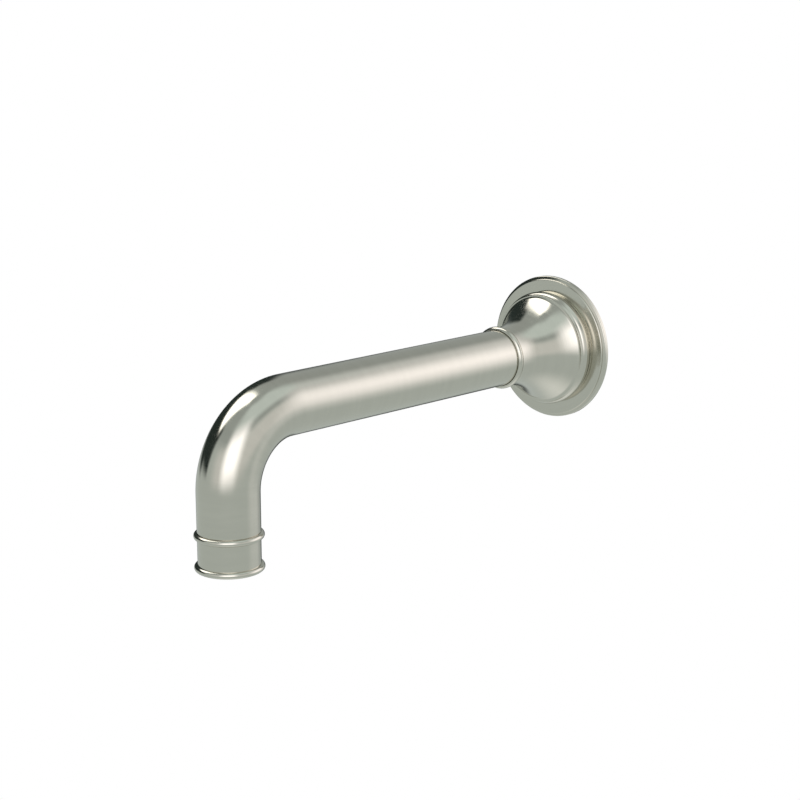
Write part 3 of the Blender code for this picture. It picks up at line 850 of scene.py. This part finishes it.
FINISHES: tuple[MetalFinish | MouldedFinish, ...] = (
    MetalFinish(Slot.NICKEL, (0.62, 0.60, 0.53), 0.13, 0.025, 0.015, 0.4, 8.0, 0.006, 0.02),
    MetalFinish(Slot.BRASS, (0.78, 0.60, 0.31), 0.24, 0.05, 0.06, 0.16, 20.0, 0.004, 0.06),
    MetalFinish(Slot.STEEL, (0.56, 0.55, 0.53), 0.3, 0.05, 0.04, 0.1, 12.0, 0.002, 0.05),
    MouldedFinish(Slot.RUBBER, (0.022, 0.022, 0.023), 0.55, 0.3, 0.12, 0.01),
    MouldedFinish(Slot.FOAM, (0.10, 0.10, 0.105), 0.9, 0.2, 0.35, 0.12),
    MouldedFinish(Slot.WHITE_PLASTIC, (0.80, 0.81, 0.79), 0.38, 0.04, 0.15, 0.004),
    MouldedFinish(Slot.GREY_PLASTIC, (0.36, 0.38, 0.40), 0.42, 0.06, 0.15, 0.005),
)


class Workshop:
    """Holds the materials, and fixes each finished piece to its body."""

    def __init__(self) -> None:
        """Makes every material once."""
        effects = Effects()
        self.materials = {finish.slot: finish.material(effects) for finish in FINISHES}

    def fit(self, piece: Piece, node: str, body: str, slot: Slot) -> None:
        """Dresses a piece and puts it in the place of its CAD node.

        Args:
            piece: the finished piece.
            node: the CAD node that it stands for.
            body: the body that it rides on.
            slot: the material slot that it takes its finish from.
        """
        piece.data.materials.clear()
        piece.data.materials.append(self.materials[slot])
        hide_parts(node)
        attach(piece, body)
        LOG.info("%s: %d faces on %s", piece.name, len(piece.data.polygons), body)


@dataclass
class InletFittings:
    """Nipple, seals, socket and grub screw, which hold the spout on the wall."""

    bore: float = 5.5
    thread: Thread = Thread(0.6, 1.814, 7, 9.32, 10.48)
    chamfer: float = 0.4
    collar_front: float = 5.5
    spigot_radius: float = 7.9
    spigot_end: float = 38.0
    spigot_chamfer: float = 0.8
    groove_middles: tuple[float, float] = (12.2, 18.2)
    groove_half_width: float = 1.2
    groove_radius: float = 6.5
    groove_edge: float = 0.12
    ring_section: float = 0.75
    screw_groove: float = 1.0
    screw_groove_half_width: float = 1.6
    key_width: float = 11.0
    key_depth: float = 9.0
    washer_play: float = 0.2
    socket_bore: float = 8.25
    socket_mouth: float = 0.9
    screw_tip: float = 7.4
    screw_tip_radius: float = 0.5
    screw_cone: float = 1.9
    screw_head: float = 12.0
    screw_key_width: float = 2.5
    screw_key_depth: float = 1.8
    body: str = "spout"

    def nipple(self) -> Piece:
        """Turns the brass nipple and sinks its hex key socket."""
        size, radius, root = extent("inlet_nipple"), self.spigot_radius, self.thread.root
        collar_back = extent("inlet_washer").far + GAP
        thread = replace(self.thread, start=size.near + self.thread.start)
        outline = Outline().to(self.bore, size.near, SOFT).to(root - self.chamfer, size.near)
        outline.threaded(root, size.near + self.chamfer, thread).to(root, collar_back, USUAL)
        outline.to(size.radius, collar_back, SOFT).to(size.radius, self.collar_front, FULL)
        outline.to(radius, self.collar_front, SOFT)
        for middle in self.groove_middles:
            near, far = middle - self.groove_half_width, middle + self.groove_half_width
            outline.to(radius, near, self.groove_edge).to(self.groove_radius, near, USUAL)
            outline.to(self.groove_radius, far, USUAL).to(radius, far, self.groove_edge)
        outline.to(radius, SCREW_DEPTH - self.screw_groove_half_width, CRISP)
        outline.to(radius - self.screw_groove, SCREW_DEPTH, FINE)
        outline.to(radius, SCREW_DEPTH + self.screw_groove_half_width, CRISP)
        outline.to(radius, self.spigot_end - self.spigot_chamfer, USUAL)
        outline.to(radius - self.spigot_chamfer, self.spigot_end, USUAL)
        outline.to(self.bore, self.spigot_end)
        nipple = turned("turned_inlet_nipple", outline, Axis.FROM_WALL)
        ends = (self.spigot_end - self.key_depth, self.spigot_end + CLEAR)
        drill(nipple, ends, Axis.FROM_WALL, hexagon_corner(self.key_width), 6)
        return nipple

    def seal(self, name: str, middle: float) -> Piece:
        """Makes one O-ring in its groove."""
        radius = self.groove_radius + self.ring_section + GAP
        outline = Outline().arc((radius, middle), self.ring_section, *RING_ARC)
        return turned(name, outline, Axis.FROM_WALL)

    def washer(self) -> Piece:
        """Makes the flat rubber washer behind the collar."""
        inner, size = self.thread.crest + self.washer_play, extent("inlet_washer")
        outline = Outline().ring(inner, size, WASHER_ROUNDS)
        return turned("moulded_inlet_washer", outline, Axis.FROM_WALL)

    def socket(self) -> Piece:
        """Turns the brass bush and drills the screw's hole."""
        size, mouth = extent("inlet_socket"), self.socket_mouth
        outline = Outline().to(self.socket_bore + mouth, size.near, FINE)
        outline.to(size.radius, size.near, USUAL).to(size.radius, size.far, SOFT)
        outline.to(self.socket_bore, size.far, USUAL).to(self.socket_bore, size.near + mouth, USUAL)
        socket = turned("turned_inlet_socket", outline, Axis.FROM_WALL)
        drill_for_screw(socket)
        return socket

    def screw(self) -> Piece:
        """Turns the grub screw with its cone point and sinks its hex socket."""
        radius, tip, head = extent("grub_screw").radius, self.screw_tip, self.screw_head
        outline = Outline().to(0, tip).to(self.screw_tip_radius, tip, CRISP)
        outline.to(radius, tip + self.screw_cone, CRISP).to(radius, head, USUAL).to(0, head)
        screw = turned("turned_grub_screw", outline, Axis.DOWN_SCREW, 64)
        ends = (head - self.screw_key_depth, head + CLEAR)
        drill(screw, ends, Axis.DOWN_SCREW, hexagon_corner(self.screw_key_width), 6)
        return screw

    def build(self, shop: Workshop) -> None:
        """Builds every fitting and puts it in its place."""
        shop.fit(self.nipple(), "inlet_nipple", self.body, Slot.BRASS)
        shop.fit(self.washer(), "inlet_washer", self.body, Slot.RUBBER)
        for node, middle in zip(("o_ring_rear", "o_ring_front"), self.groove_middles):
            shop.fit(self.seal(f"moulded_{node}", middle), node, self.body, Slot.RUBBER)
        shop.fit(self.socket(), "inlet_socket", self.body, Slot.BRASS)
        shop.fit(self.screw(), "grub_screw", self.body, Slot.STEEL)


def drill_for_screw(piece: Piece) -> None:
    """Drills the grub screw's hole in a piece from below."""
    drill(piece, SCREW_HOLE_ENDS, Axis.DOWN_SCREW, SCREW_HOLE_RADIUS, 48)


@dataclass
class SpoutBody:
    """The bent tube and the beaded collar at its outlet."""

    wall: float = 1.5
    bend_radius: float = 29.7
    bend_steps: int = 56
    around: int = 144
    end_round: float = 0.2
    collar_bore: float = 9.0
    collar_seat: float = 47.0
    collar_radius: float = 12.45
    collar_play: float = 0.3
    bead_drops: tuple[float, float] = (46.5, 59.3)
    bead_middle: float = 12.55
    bead_size: float = 1.28
    bead_root: float = 0.35
    rim_round: float = 0.05
    rim_edge: float = 0.35
    mouth: float = 11.0
    thread: Thread = Thread(48.4, 1.0, 6, 10.85, 10.2)
    body: str = "spout"

    def stations(self) -> list[tuple[Vector, Vector, float]]:
        """Places along the tube's middle line.

        Returns:
            For each place its point, its direction and its distance along the line, in
            millimetres.
        """
        start, end = extent("spout_tube").near, extent("spout_tube", 2).far
        bend_start = REACH - self.bend_radius
        bend_length = self.bend_radius * math.pi / 2
        out, down = Vector((0, -1, 0)), Vector((0, 0, -1))
        guards = (0.0, self.end_round, 2 * self.end_round)
        spots = []
        for reach in (*(start + guard for guard in guards), bend_start - 1):
            spots.append((Vector((0, -reach, 0)), out, reach))
        for step in range(self.bend_steps + 1):
            turn = math.pi / 2 * step / self.bend_steps
            reach = bend_start + self.bend_radius * math.sin(turn)
            drop = self.bend_radius * (1 - math.cos(turn))
            heading = Vector((0, -math.cos(turn), -math.sin(turn)))
            travel = bend_start + bend_length * step / self.bend_steps
            spots.append((Vector((0, -reach, -drop)), heading, travel))
        for drop in (self.bend_radius + 1, *(end - guard for guard in reversed(guards))):
            travel = bend_start + bend_length + drop - self.bend_radius
            spots.append((Vector((0, -REACH, -drop)), down, travel))
        return spots

    def tube(self) -> Piece:
        """Sweeps the hollow tube along its middle line and drills the screw's hole."""
        radius, side = extent("spout_tube").radius, Vector((1, 0, 0))
        lathe, stations = Lathe(self.around), self.stations()
        skins: dict[bool, list[Verts]] = {True: [], False: []}
        for index, (middle, heading, travel) in enumerate(stations):
            at_end = index in (0, len(stations) - 1)
            up = heading.cross(side)
            for outside, rings in skins.items():
                size = radius if outside else radius - self.wall
                if at_end:
                    size += -self.end_round / 2 if outside else self.end_round / 2
                ring = []
                for step in range(self.around):
                    turn = FULL_TURN * step / self.around
                    reach = side * math.cos(turn) + up * math.sin(turn)
                    vert = lathe.point(size, turn, 0, travel, float(at_end and outside))
                    vert.co = (middle + reach * size) * MM
                    ring.append(vert)
                rings.append(ring)
        for rings in skins.values():
            for first, second in zip(rings, rings[1:]):
                lathe.bridge(first, second)
        for end in (0, -1):
            lathe.bridge(skins[True][end], skins[False][end])
        tube = lathe.finish("bent_spout_tube", Matrix.Identity(4))
        drill_for_screw(tube)
        return tube

    def bead(self, outline: Outline, drop: float, last: float) -> None:
        """Adds a half-round bead to the collar's outline, down to the last angle."""
        half = math.degrees(math.acos((self.collar_radius - self.bead_middle) / self.bead_size))
        outline.arc((self.bead_middle, drop), self.bead_size, -half, min(half, last))

    def collar(self) -> Piece:
        """Turns the outlet collar with its two beads and its inside thread."""
        size, tube, root = extent("outlet_collar", 2), extent("spout_tube", 2), self.thread.root
        spigot, shoulder = extent("spout_tube").radius - self.wall - self.collar_play, tube.far + GAP
        upper, lower = self.bead_drops
        outline = Outline().to(self.collar_bore, size.near, SOFT).to(spigot, size.near, FULL)
        outline.to(spigot, shoulder).to(self.bead_middle - self.bead_root, shoulder)
        self.bead(outline, upper, 180)
        rim_angle = math.asin(min(1.0, (size.far - self.rim_round - lower) / self.bead_size))
        self.bead(outline, lower, math.degrees(rim_angle))
        outline.to(self.bead_middle - GAP, size.far).to(self.mouth, size.far, self.rim_edge)
        outline.to(self.mouth, self.thread.end() + 2 * THREAD_RUN_OUT)
        outline.threaded(root, self.thread.end() + THREAD_RUN_OUT, self.thread)
        outline.to(root, self.collar_seat).to(self.collar_bore, self.collar_seat, USUAL)
        return turned("turned_outlet_collar", outline, Axis.DOWN_OUTLET, self.around)

    def build(self, shop: Workshop) -> None:
        """Builds the tube and its collar and puts them in their place."""
        shop.fit(self.tube(), "spout_tube", self.body, Slot.NICKEL)
        shop.fit(self.collar(), "outlet_collar", self.body, Slot.NICKEL)


@dataclass
class WallFlange:
    """The plate and bell that cover the wall fitting and slide along the tube.

    The bell's rim runs into its flare by a lip and a small hollow round, called the quirk.
    """

    step: float = 1.85
    step_slope: float = 0.6
    front_radius: float = 31.2
    plate_wall: float = 1.4
    plate_bore: float = 21.3
    front_edge: float = 0.6
    outer_edge: float = 0.45
    spigot_radius: float = 21.0
    spigot_bore: float = 19.2
    spigot_depth: float = 1.6
    foot_radius: float = 24.8
    rim_depth: float = 6.2
    rim_roll: float = 3.1
    rim_angles: Spot = (-44, 47)
    lip: Spot = (0.28, 0.02)
    quirk_part: float = 0.034
    quirk_size: float = 1.7
    quirk_blend: float = 0.005
    shoulder_radius: float = 23.7
    shoulder: float = 9.2
    neck_radius: float = 13.2
    neck: float = 35.9
    flare_power: float = 2.2
    flare_steps: int = 40
    inside_start: float = 0.69
    inside_length: float = 0.41
    wall: float = 1.3
    bore: float = 12.65
    bore_back: float = 1.5
    bead: float = 37.35
    bead_size: float = 1.6
    bead_middle: float = 12.35
    bead_end: float = 72
    bead_front: float = 0.94
    groove_half_width: float = 0.65
    groove_radius: float = 13.45
    ring_section: float = 0.42
    ring_squeeze: float = 0.04
    lock_play: float = 0.15
    notches: int = 4
    notch_block: Spot = (3, 3)
    gasket_width: float = 2.8
    around: int = 192
    body: str = "flange"

    def plate(self) -> Piece:
        """Turns the stepped plate with its open back."""
        size = extent("wall_plate")
        inner_front, inner_radius = size.far - self.plate_wall, self.front_radius - self.plate_wall
        outline = Outline().to(self.plate_bore, inner_front, CRISP)
        outline.to(self.plate_bore, size.far, USUAL).to(self.front_radius, size.far, self.front_edge)
        outline.to(self.front_radius, self.step + self.step_slope)
        outline.to(size.radius, self.step, self.outer_edge).to(size.radius, size.near, FINE)
        outline.to(inner_radius, size.near, FINE).to(inner_radius, inner_front, FULL)
        return turned("pressed_wall_plate", outline, Axis.FROM_WALL, self.around)

    def flare(self, part: float, shift: float = 0.0) -> Spot:
        """Gives a point of the flare, from its shoulder at 0 to its neck at 1.

        Args:
            part: how far along the flare the point lies.
            shift: how far it is moved towards the axis, in millimetres.

        Returns:
            Its radius and its distance from the wall.
        """
        left = 1 - part
        swell = (self.shoulder_radius - self.neck_radius) * left**self.flare_power
        return self.neck_radius + swell - shift, self.neck - (self.neck - self.shoulder) * left

    def quirk(self) -> tuple[Spot, float]:
        """Works out the hollow round between the flare and the rim.

        Returns:
            The middle of the round, and the angle in degrees where it runs into the flare.
        """
        radius, along = self.flare(self.quirk_part)
        swell = self.shoulder_radius - self.neck_radius
        rate = self.flare_power * (1 - self.quirk_part) ** (self.flare_power - 1)
        lean = math.atan(swell * rate / (self.neck - self.shoulder))
        size = self.quirk_size
        middle = (radius + size * math.cos(lean), along + size * math.sin(lean))
        return middle, 180 + math.degrees(lean)

    def flare_outside(self, part: float) -> Spot:
        """Gives a point of the bell's outside, from the hollow round at 0 to the neck at 1."""
        start = self.quirk_part + self.quirk_blend
        return self.flare(start + (1 - start) * part)

    def flare_inside(self, part: float) -> Spot:
        """Gives a point of the bell's inside, from near its neck at 0 to its shoulder at 1."""
        return self.flare(self.inside_start - self.inside_length * part, self.wall)

    def bell(self) -> Piece:
        """Turns the bell with its rounded rim, hollow flare and beaded neck."""
        size, foot, bead = extent("bell_flange"), extent("wall_plate").far + GAP, self.bead
        outline = Outline().to(self.foot_radius, foot, FINE)
        rim = (size.radius - self.rim_roll, self.rim_depth)
        outline.arc(rim, self.rim_roll, *self.rim_angles)
        quirk, quirk_end = self.quirk()
        outline.to(quirk[0] + self.lip[0], quirk[1] - self.quirk_size + self.lip[1], SOFT)
        outline.arc(quirk, self.quirk_size, 270, quirk_end)
        outline.curve(self.flare_outside, self.flare_steps)
        bead_start = math.degrees(math.acos((self.neck_radius - self.bead_middle) / self.bead_size))
        outline.arc((self.bead_middle, bead), self.bead_size, -bead_start, self.bead_end)
        near, far = bead - self.groove_half_width, bead + self.groove_half_width
        outline.to(self.bore, bead + self.bead_size * self.bead_front, CRISP)
        outline.to(self.bore, far, CRISP).to(self.groove_radius, far, FINE)
        outline.to(self.groove_radius, near, FINE).to(self.bore, near, CRISP)
        outline.to(self.bore, self.neck - self.bore_back)
        outline.curve(self.flare_inside, self.flare_steps // 2)
        outline.to(self.spigot_bore, self.shoulder + self.spigot_depth, FULL)
        outline.to(self.spigot_bore, size.near, USUAL).to(self.spigot_radius, size.near, SOFT)
        outline.to(self.spigot_radius, foot, CRISP)
        return turned("spun_bell_flange", outline, Axis.FROM_WALL, self.around)

    def lock_ring(self) -> Piece:
        """Turns the ring that clamps the bell and cuts its key notches."""
        size = extent("flange_lock_ring")
        outline = Outline().ring(self.spigot_radius + self.lock_play, size, WASHER_ROUNDS)
        ring = turned("turned_lock_ring", outline, Axis.FROM_WALL, self.around)
        ends = (-CLEAR, size.far + CLEAR)
        notch(ring, ends, Axis.FROM_WALL, self.notches, size.radius, self.notch_block)
        return ring

    def gasket(self) -> Piece:
        """Makes the foam ring that rests on the wall."""
        size, rounds = extent("wall_gasket"), (SOFT, SOFT, USUAL, USUAL)
        outline = Outline().ring(size.radius - self.gasket_width, size, rounds)
        return turned("foam_wall_gasket", outline, Axis.FROM_WALL, self.around)

    def neck_ring(self) -> Piece:
        """Makes the O-ring in the neck bead."""
        radius = (self.bore + self.groove_radius) / 2 - self.ring_squeeze
        outline = Outline().arc((radius, self.bead), self.ring_section, *RING_ARC)
        return turned("moulded_neck_o_ring", outline, Axis.FROM_WALL)

    def build(self, shop: Workshop) -> None:
        """Builds the flange's pieces and puts them in their place."""
        shop.fit(self.plate(), "wall_plate", self.body, Slot.NICKEL)
        shop.fit(self.bell(), "bell_flange", self.body, Slot.NICKEL)
        shop.fit(self.lock_ring(), "flange_lock_ring", self.body, Slot.BRASS)
        shop.fit(self.neck_ring(), "neck_o_ring", self.body, Slot.RUBBER)
        shop.fit(self.gasket(), "wall_gasket", self.body, Slot.FOAM)


@dataclass
class Aerator:
    """The cartridge that screws into the outlet, from its washer to its honeycomb."""

    bore: float = 9.2
    lip: float = 8.0
    lip_height: float = 1.4
    skirt: float = 10.3
    skirt_height: float = 0.8
    skirt_steps: Spot = (0.2, 0.5)
    thread: Thread = Thread(49.9, 1.0, 5, 9.85, 10.45)
    key_slots: int = 4
    key_slot_block: Spot = (4, 2)
    key_slot_depth: float = 1.0
    washer_bore: float = 7.6
    dome: float = 7.2
    dome_rise: float = 3.4
    dome_wall: float = 0.6
    dome_steps: int = 12
    dome_hole: float = 0.42
    dome_rings: tuple[tuple[int, float], ...] = ((6, 1.5), (12, 3.2), (18, 5.0))
    jets: int = 12
    jet_circle: float = 6.4
    jet_radius: float = 0.7
    passages: int = 6
    passage_circle: float = 5.3
    passage_radius: float = 1.9
    mesh_pitch: float = 0.8
    mesh_hole: float = 0.58
    mesh_rim: float = 1.2
    mesh_lines: int = 16
    cell_pitch: float = 3.4
    cell_width: float = 2.9
    cell_rings: int = 2
    disc_around: int = 96
    body: str = "aerator"

    def housing(self) -> Piece:
        """Turns the threaded sleeve and cuts the slots for its key."""
        size = extent("aerator_housing", 2)
        end, lip_top, upper, lower = size.far, size.far - self.lip_height, *self.skirt_steps
        outline = Outline().to(self.bore, size.near, FINE)
        outline.threaded(self.thread.root, size.near, self.thread)
        outline.to(self.thread.root, self.thread.end() + THREAD_RUN_OUT)
        outline.to(self.skirt - upper, end - self.skirt_height, SOFT)
        outline.to(self.skirt - lower, end, EASED).to(self.lip, end, SOFT)
        outline.to(self.lip, lip_top, CRISP).to(self.bore, lip_top)
        housing = turned("turned_aerator_housing", outline, Axis.DOWN_OUTLET)
        ends, middle = (end - self.key_slot_depth, end + CLEAR), (self.lip + self.skirt) / 2
        notch(housing, ends, Axis.DOWN_OUTLET, self.key_slots, middle, self.key_slot_block)
        return housing

    def washer(self) -> Piece:
        """Makes the flat seal on top of the housing."""
        outline = Outline().ring(self.washer_bore, extent("aerator_washer", 2), 4 * [USUAL])
        return turned("moulded_aerator_washer", outline, Axis.DOWN_OUTLET)

    def dome_spot(self, part: float, inner: bool) -> Spot:
        """Gives a point of the strainer's dome, from its middle at 0 to its foot at 1."""
        wall = self.dome_wall if inner else 0
        foot = extent("aerator_screen", 2).near + self.dome_rise
        turn = math.pi / 2 * part
        return (self.dome - wall) * math.sin(turn), foot - (self.dome_rise - wall) * math.cos(turn)

    def screen(self) -> Piece:
        """Makes the domed strainer and drills its holes."""
        size = extent("aerator_screen", 2)
        outline = Outline().curve(lambda part: self.dome_spot(part, False), self.dome_steps)
        outline.to(size.radius, size.near + self.dome_rise, FINE).to(size.radius, size.far, FINE)
        outline.to(self.dome - self.dome_wall, size.far)
        outline.curve(lambda part: self.dome_spot(1 - part, True), self.dome_steps)
        screen = turned("moulded_strainer", outline, Axis.DOWN_OUTLET, self.disc_around)
        spots = [spot for ring in self.dome_rings for spot in ring_of_spots(*ring)]
        ends = (size.near - CLEAR, size.far + CLEAR)
        drill(screen, ends, Axis.DOWN_OUTLET, self.dome_hole, 16, spots)
        return screen

    def disc(self, name: str, node: str, radius: float, sides: int, spots: list[Spot]) -> Piece:
        """Makes a flat disc of the cartridge with straight holes through it.

        Args:
            name: name of the piece.
            node: CAD node that gives its size.
            radius: corner radius of a hole.
            sides: number of sides of a hole.
            spots: middles of the holes.

        Returns:
            The finished object.
        """
        size = extent(node, 2)
        outline = Outline().ring(0, size, (0, FINE, FINE, 0))
        disc = turned(name, outline, Axis.DOWN_OUTLET, self.disc_around)
        drill(disc, (size.near - CLEAR, size.far + CLEAR), Axis.DOWN_OUTLET, radius, sides, spots)
        return disc

    def mesh_spots(self) -> list[Spot]:
        """Middles of the square openings of the mesh disc."""
        reach = extent("aerator_mesh", 2).radius - self.mesh_rim
        steps = range(-self.mesh_lines, self.mesh_lines + 1)
        half = self.mesh_pitch / math.sqrt(2)
        spots = [((row - line) * half, (row + line) * half) for row in steps for line in steps]
        return [spot for spot in spots if math.hypot(*spot) < reach]

    def cell_spots(self) -> list[Spot]:
        """Middles of the honeycomb's cells."""
        steps = range(-self.cell_rings, self.cell_rings + 1)
        places = [(column, row) for column in steps for row in steps if column + row in steps]
        return [
            (self.cell_pitch * (column + row / 2), self.cell_pitch * row * math.sqrt(3) / 2)
            for column, row in places
        ]

    def build(self, shop: Workshop) -> None:
        """Builds the cartridge and puts it in its place."""
        shop.fit(self.washer(), "aerator_washer", "aerator_seal", Slot.RUBBER)
        shop.fit(self.housing(), "aerator_housing", self.body, Slot.NICKEL)
        shop.fit(self.screen(), "aerator_screen", self.body, Slot.WHITE_PLASTIC)
        jets = ring_of_spots(self.jets, self.jet_circle)
        passages = ring_of_spots(self.passages, self.passage_circle)
        hole, cell = self.mesh_hole / math.sqrt(2), hexagon_corner(self.cell_width)
        for name, node, slot, *holes in (
            ("moulded_jet_plate", "aerator_jet_plate", Slot.GREY_PLASTIC, self.jet_radius, 24, jets),
            ("moulded_mixer", "aerator_mixer", Slot.WHITE_PLASTIC, self.passage_radius, 40, passages),
            ("woven_mesh_disc", "aerator_mesh", Slot.STEEL, hole, 4, self.mesh_spots()),
            ("moulded_honeycomb", "flow_straightener", Slot.GREY_PLASTIC, cell, 6, self.cell_spots()),
        ):
            shop.fit(self.disc(name, node, *holes), node, self.body, slot)


@dataclass(frozen=True)
class SoftBox:
    """A light or dark card that stands round the object, seen only in its reflections.

    Attributes:
        middle: azimuth and elevation of its middle in degrees; azimuth 0 is the wall, 90 is +X
            and 180 is the front.
        half: half its width and height in degrees.
        fade: width of its faded edges in degrees, at the sides and at the top and bottom.
        colour: light that it gives.
    """

    middle: Spot
    half: Spot
    fade: Spot
    colour: Colour


@dataclass
class Studio:
    """Camera, pale floor and soft light."""

    aim: Vector = field(default_factory=lambda: Vector((-0.00022, -0.10034, -0.00893)))
    azimuth: float = 44.117
    elevation: float = 13.045
    distance: float = 0.73149
    focal_length: float = 78.155
    farthest: float = 50
    surround: Colour = (0.55, 0.60, 0.585)
    floor_drop: float = 1.2
    floor_size: float = 12.0
    floor_tone: Colour = (0.9, 0.9, 0.9)
    floor_roughness: float = 0.9
    boxes: tuple[SoftBox, ...] = (
        SoftBox((0, -90), (360, 23), (1, 46), (0.90, 0.93, 0.92)),
        SoftBox((0, 65), (360, 32), (1, 14), (0.42, 0.46, 0.45)),
        SoftBox((-30, 20), (35, 42), (24, 24), (0.40, 0.43, 0.42)),
        SoftBox((82, 65), (76, 18), (50, 14), (0.71, 0.79, 0.78)),
        SoftBox((116, 14), (76, 17), (34, 16), (0.77, 0.78, 0.77)),
        SoftBox((135, 23), (25, 22.5), (27, 29), (1.95, 1.92, 1.98)),
        SoftBox((25, 16), (27, 20), (30, 46), (1.60, 1.54, 1.58)),
        SoftBox((-44, -14), (20, 18), (16, 14), (0.05, 0.055, 0.052)),
        SoftBox((-95, 22.5), (46, 20), (10, 11), (0.025, 0.035, 0.032)),
        SoftBox((-78, 9), (28, 13), (14, 8), (0.025, 0.035, 0.032)),
        SoftBox((-100.5, 56), (25.5, 22), (13, 5), (2.4, 2.38, 2.3)),
    )

    def camera(self) -> None:
        """Sets up the camera."""
        turn, lift = math.radians(self.azimuth), math.radians(self.elevation)
        back = Vector((math.sin(turn), -math.cos(turn), 0)) * math.cos(lift)
        back.z = math.sin(lift)
        data = bpy.data.cameras.new("camera")
        data.lens = self.focal_length
        data.clip_end = self.farthest
        camera = bpy.data.objects.new("camera", data)
        camera.location = self.aim + back * self.distance
        camera.rotation_euler = (-back).to_track_quat("-Z", "Y").to_euler()
        bpy.context.scene.collection.objects.link(camera)
        bpy.context.scene.camera = camera

    def light(self) -> None:
        """Lays out the world: a grey surround with soft cards, and white where the camera looks."""
        world = bpy.data.worlds.new("studio")
        bpy.context.scene.world = world
        world.use_nodes = True
        sheet = Sheet(world.node_tree)
        sheet.tree.nodes.clear()
        toward = sheet.add("ShaderNodeTexCoord").outputs["Generated"]
        parts = sheet.add("ShaderNodeSeparateXYZ", i0=toward).outputs
        azimuth = sheet.math("DEGREES", sheet.math("ARCTAN2", parts[0], parts[1]))
        elevation = sheet.math("DEGREES", sheet.math("ARCSINE", parts[2]))
        colour = (*self.surround, 1.0)
        for box in self.boxes:
            inside = self._inside(sheet, azimuth, elevation, box)
            colour = sheet.blend(inside, colour, (*box.colour, 1.0))
        around = sheet.add("ShaderNodeBackground", Color=colour).outputs[0]
        white = sheet.add("ShaderNodeBackground", Color=WHITE).outputs[0]
        sheet.add("ShaderNodeOutputWorld", Surface=sheet.seen_or(around, white))

    @staticmethod
    def _inside(
        sheet: Sheet, azimuth: Socket, elevation: Socket, box: SoftBox
    ) -> Socket:
        """Mask of one card.

        Args:
            sheet: sheet of the world's nodes.
            azimuth: socket with the direction's azimuth in degrees.
            elevation: socket with its elevation.
            box: the card.

        Returns:
            The socket with 1 inside the card and 0 outside.
        """
        aside = sheet.math("WRAP", sheet.math("SUBTRACT", azimuth, box.middle[0]), 180.0, -180.0)
        above = sheet.math("SUBTRACT", elevation, box.middle[1])
        masks = []
        for angle, half, fade in zip((aside, above), box.half, box.fade):
            faded = sheet.ramp(sheet.math("ABSOLUTE", angle), half - fade / 2, half + fade / 2)
            masks.append(sheet.math("SUBTRACT", 1.0, faded))
        return sheet.math("MULTIPLY", *masks)

    def floor(self) -> None:
        """Lays a plain pale floor well below the spout."""
        half = self.floor_size / 2
        mesh = bpy.data.meshes.new("floor")
        corners = ((-half, -half), (half, -half), (half, half), (-half, half))
        mesh.from_pydata([(x, y, -self.floor_drop) for x, y in corners], [], [(0, 1, 2, 3)])
        material, sheet, shader = plain_sheet("pale_floor")
        sheet.put(shader.inputs["Base Color"], (*self.floor_tone, 1.0))
        sheet.put(shader.inputs["Roughness"], self.floor_roughness)
        glow = sheet.add("ShaderNodeEmission", Color=WHITE).outputs[0]
        surface = sheet.tree.nodes["Material Output"].inputs["Surface"]
        sheet.put(surface, sheet.seen_or(shader.outputs[0], glow))
        mesh.materials.append(material)
        floor = bpy.data.objects.new("floor", mesh)
        floor.visible_glossy = False
        bpy.context.scene.collection.objects.link(floor)
        floor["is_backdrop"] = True

    def build(self) -> None:
        """Sets up the whole studio."""
        bpy.context.scene.view_settings.view_transform = "Standard"
        self.camera()
        self.light()
        self.floor()
        LOG.info("studio: %d soft cards", len(self.boxes))


def note_sizes() -> None:
    """Works out the CAD box and the finished object's box."""
    boxes = {"cad": CAD_BOX, "visual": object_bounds()}
    plain = {name: [list(corner) for corner in box] for name, box in boxes.items()}


def main() -> None:
    """Builds the studio and the spout's sub-assemblies in order."""
    logging.basicConfig(level=logging.INFO, format="%(name)s %(message)s")
    Studio().build()
    shop = Workshop()
    for assembly in (InletFittings(), SpoutBody(), WallFlange(), Aerator()):
        assembly.build(shop)
        LOG.info("%s is built", type(assembly).__name__)


if __name__ == "__main__":
    main()
    note_sizes()
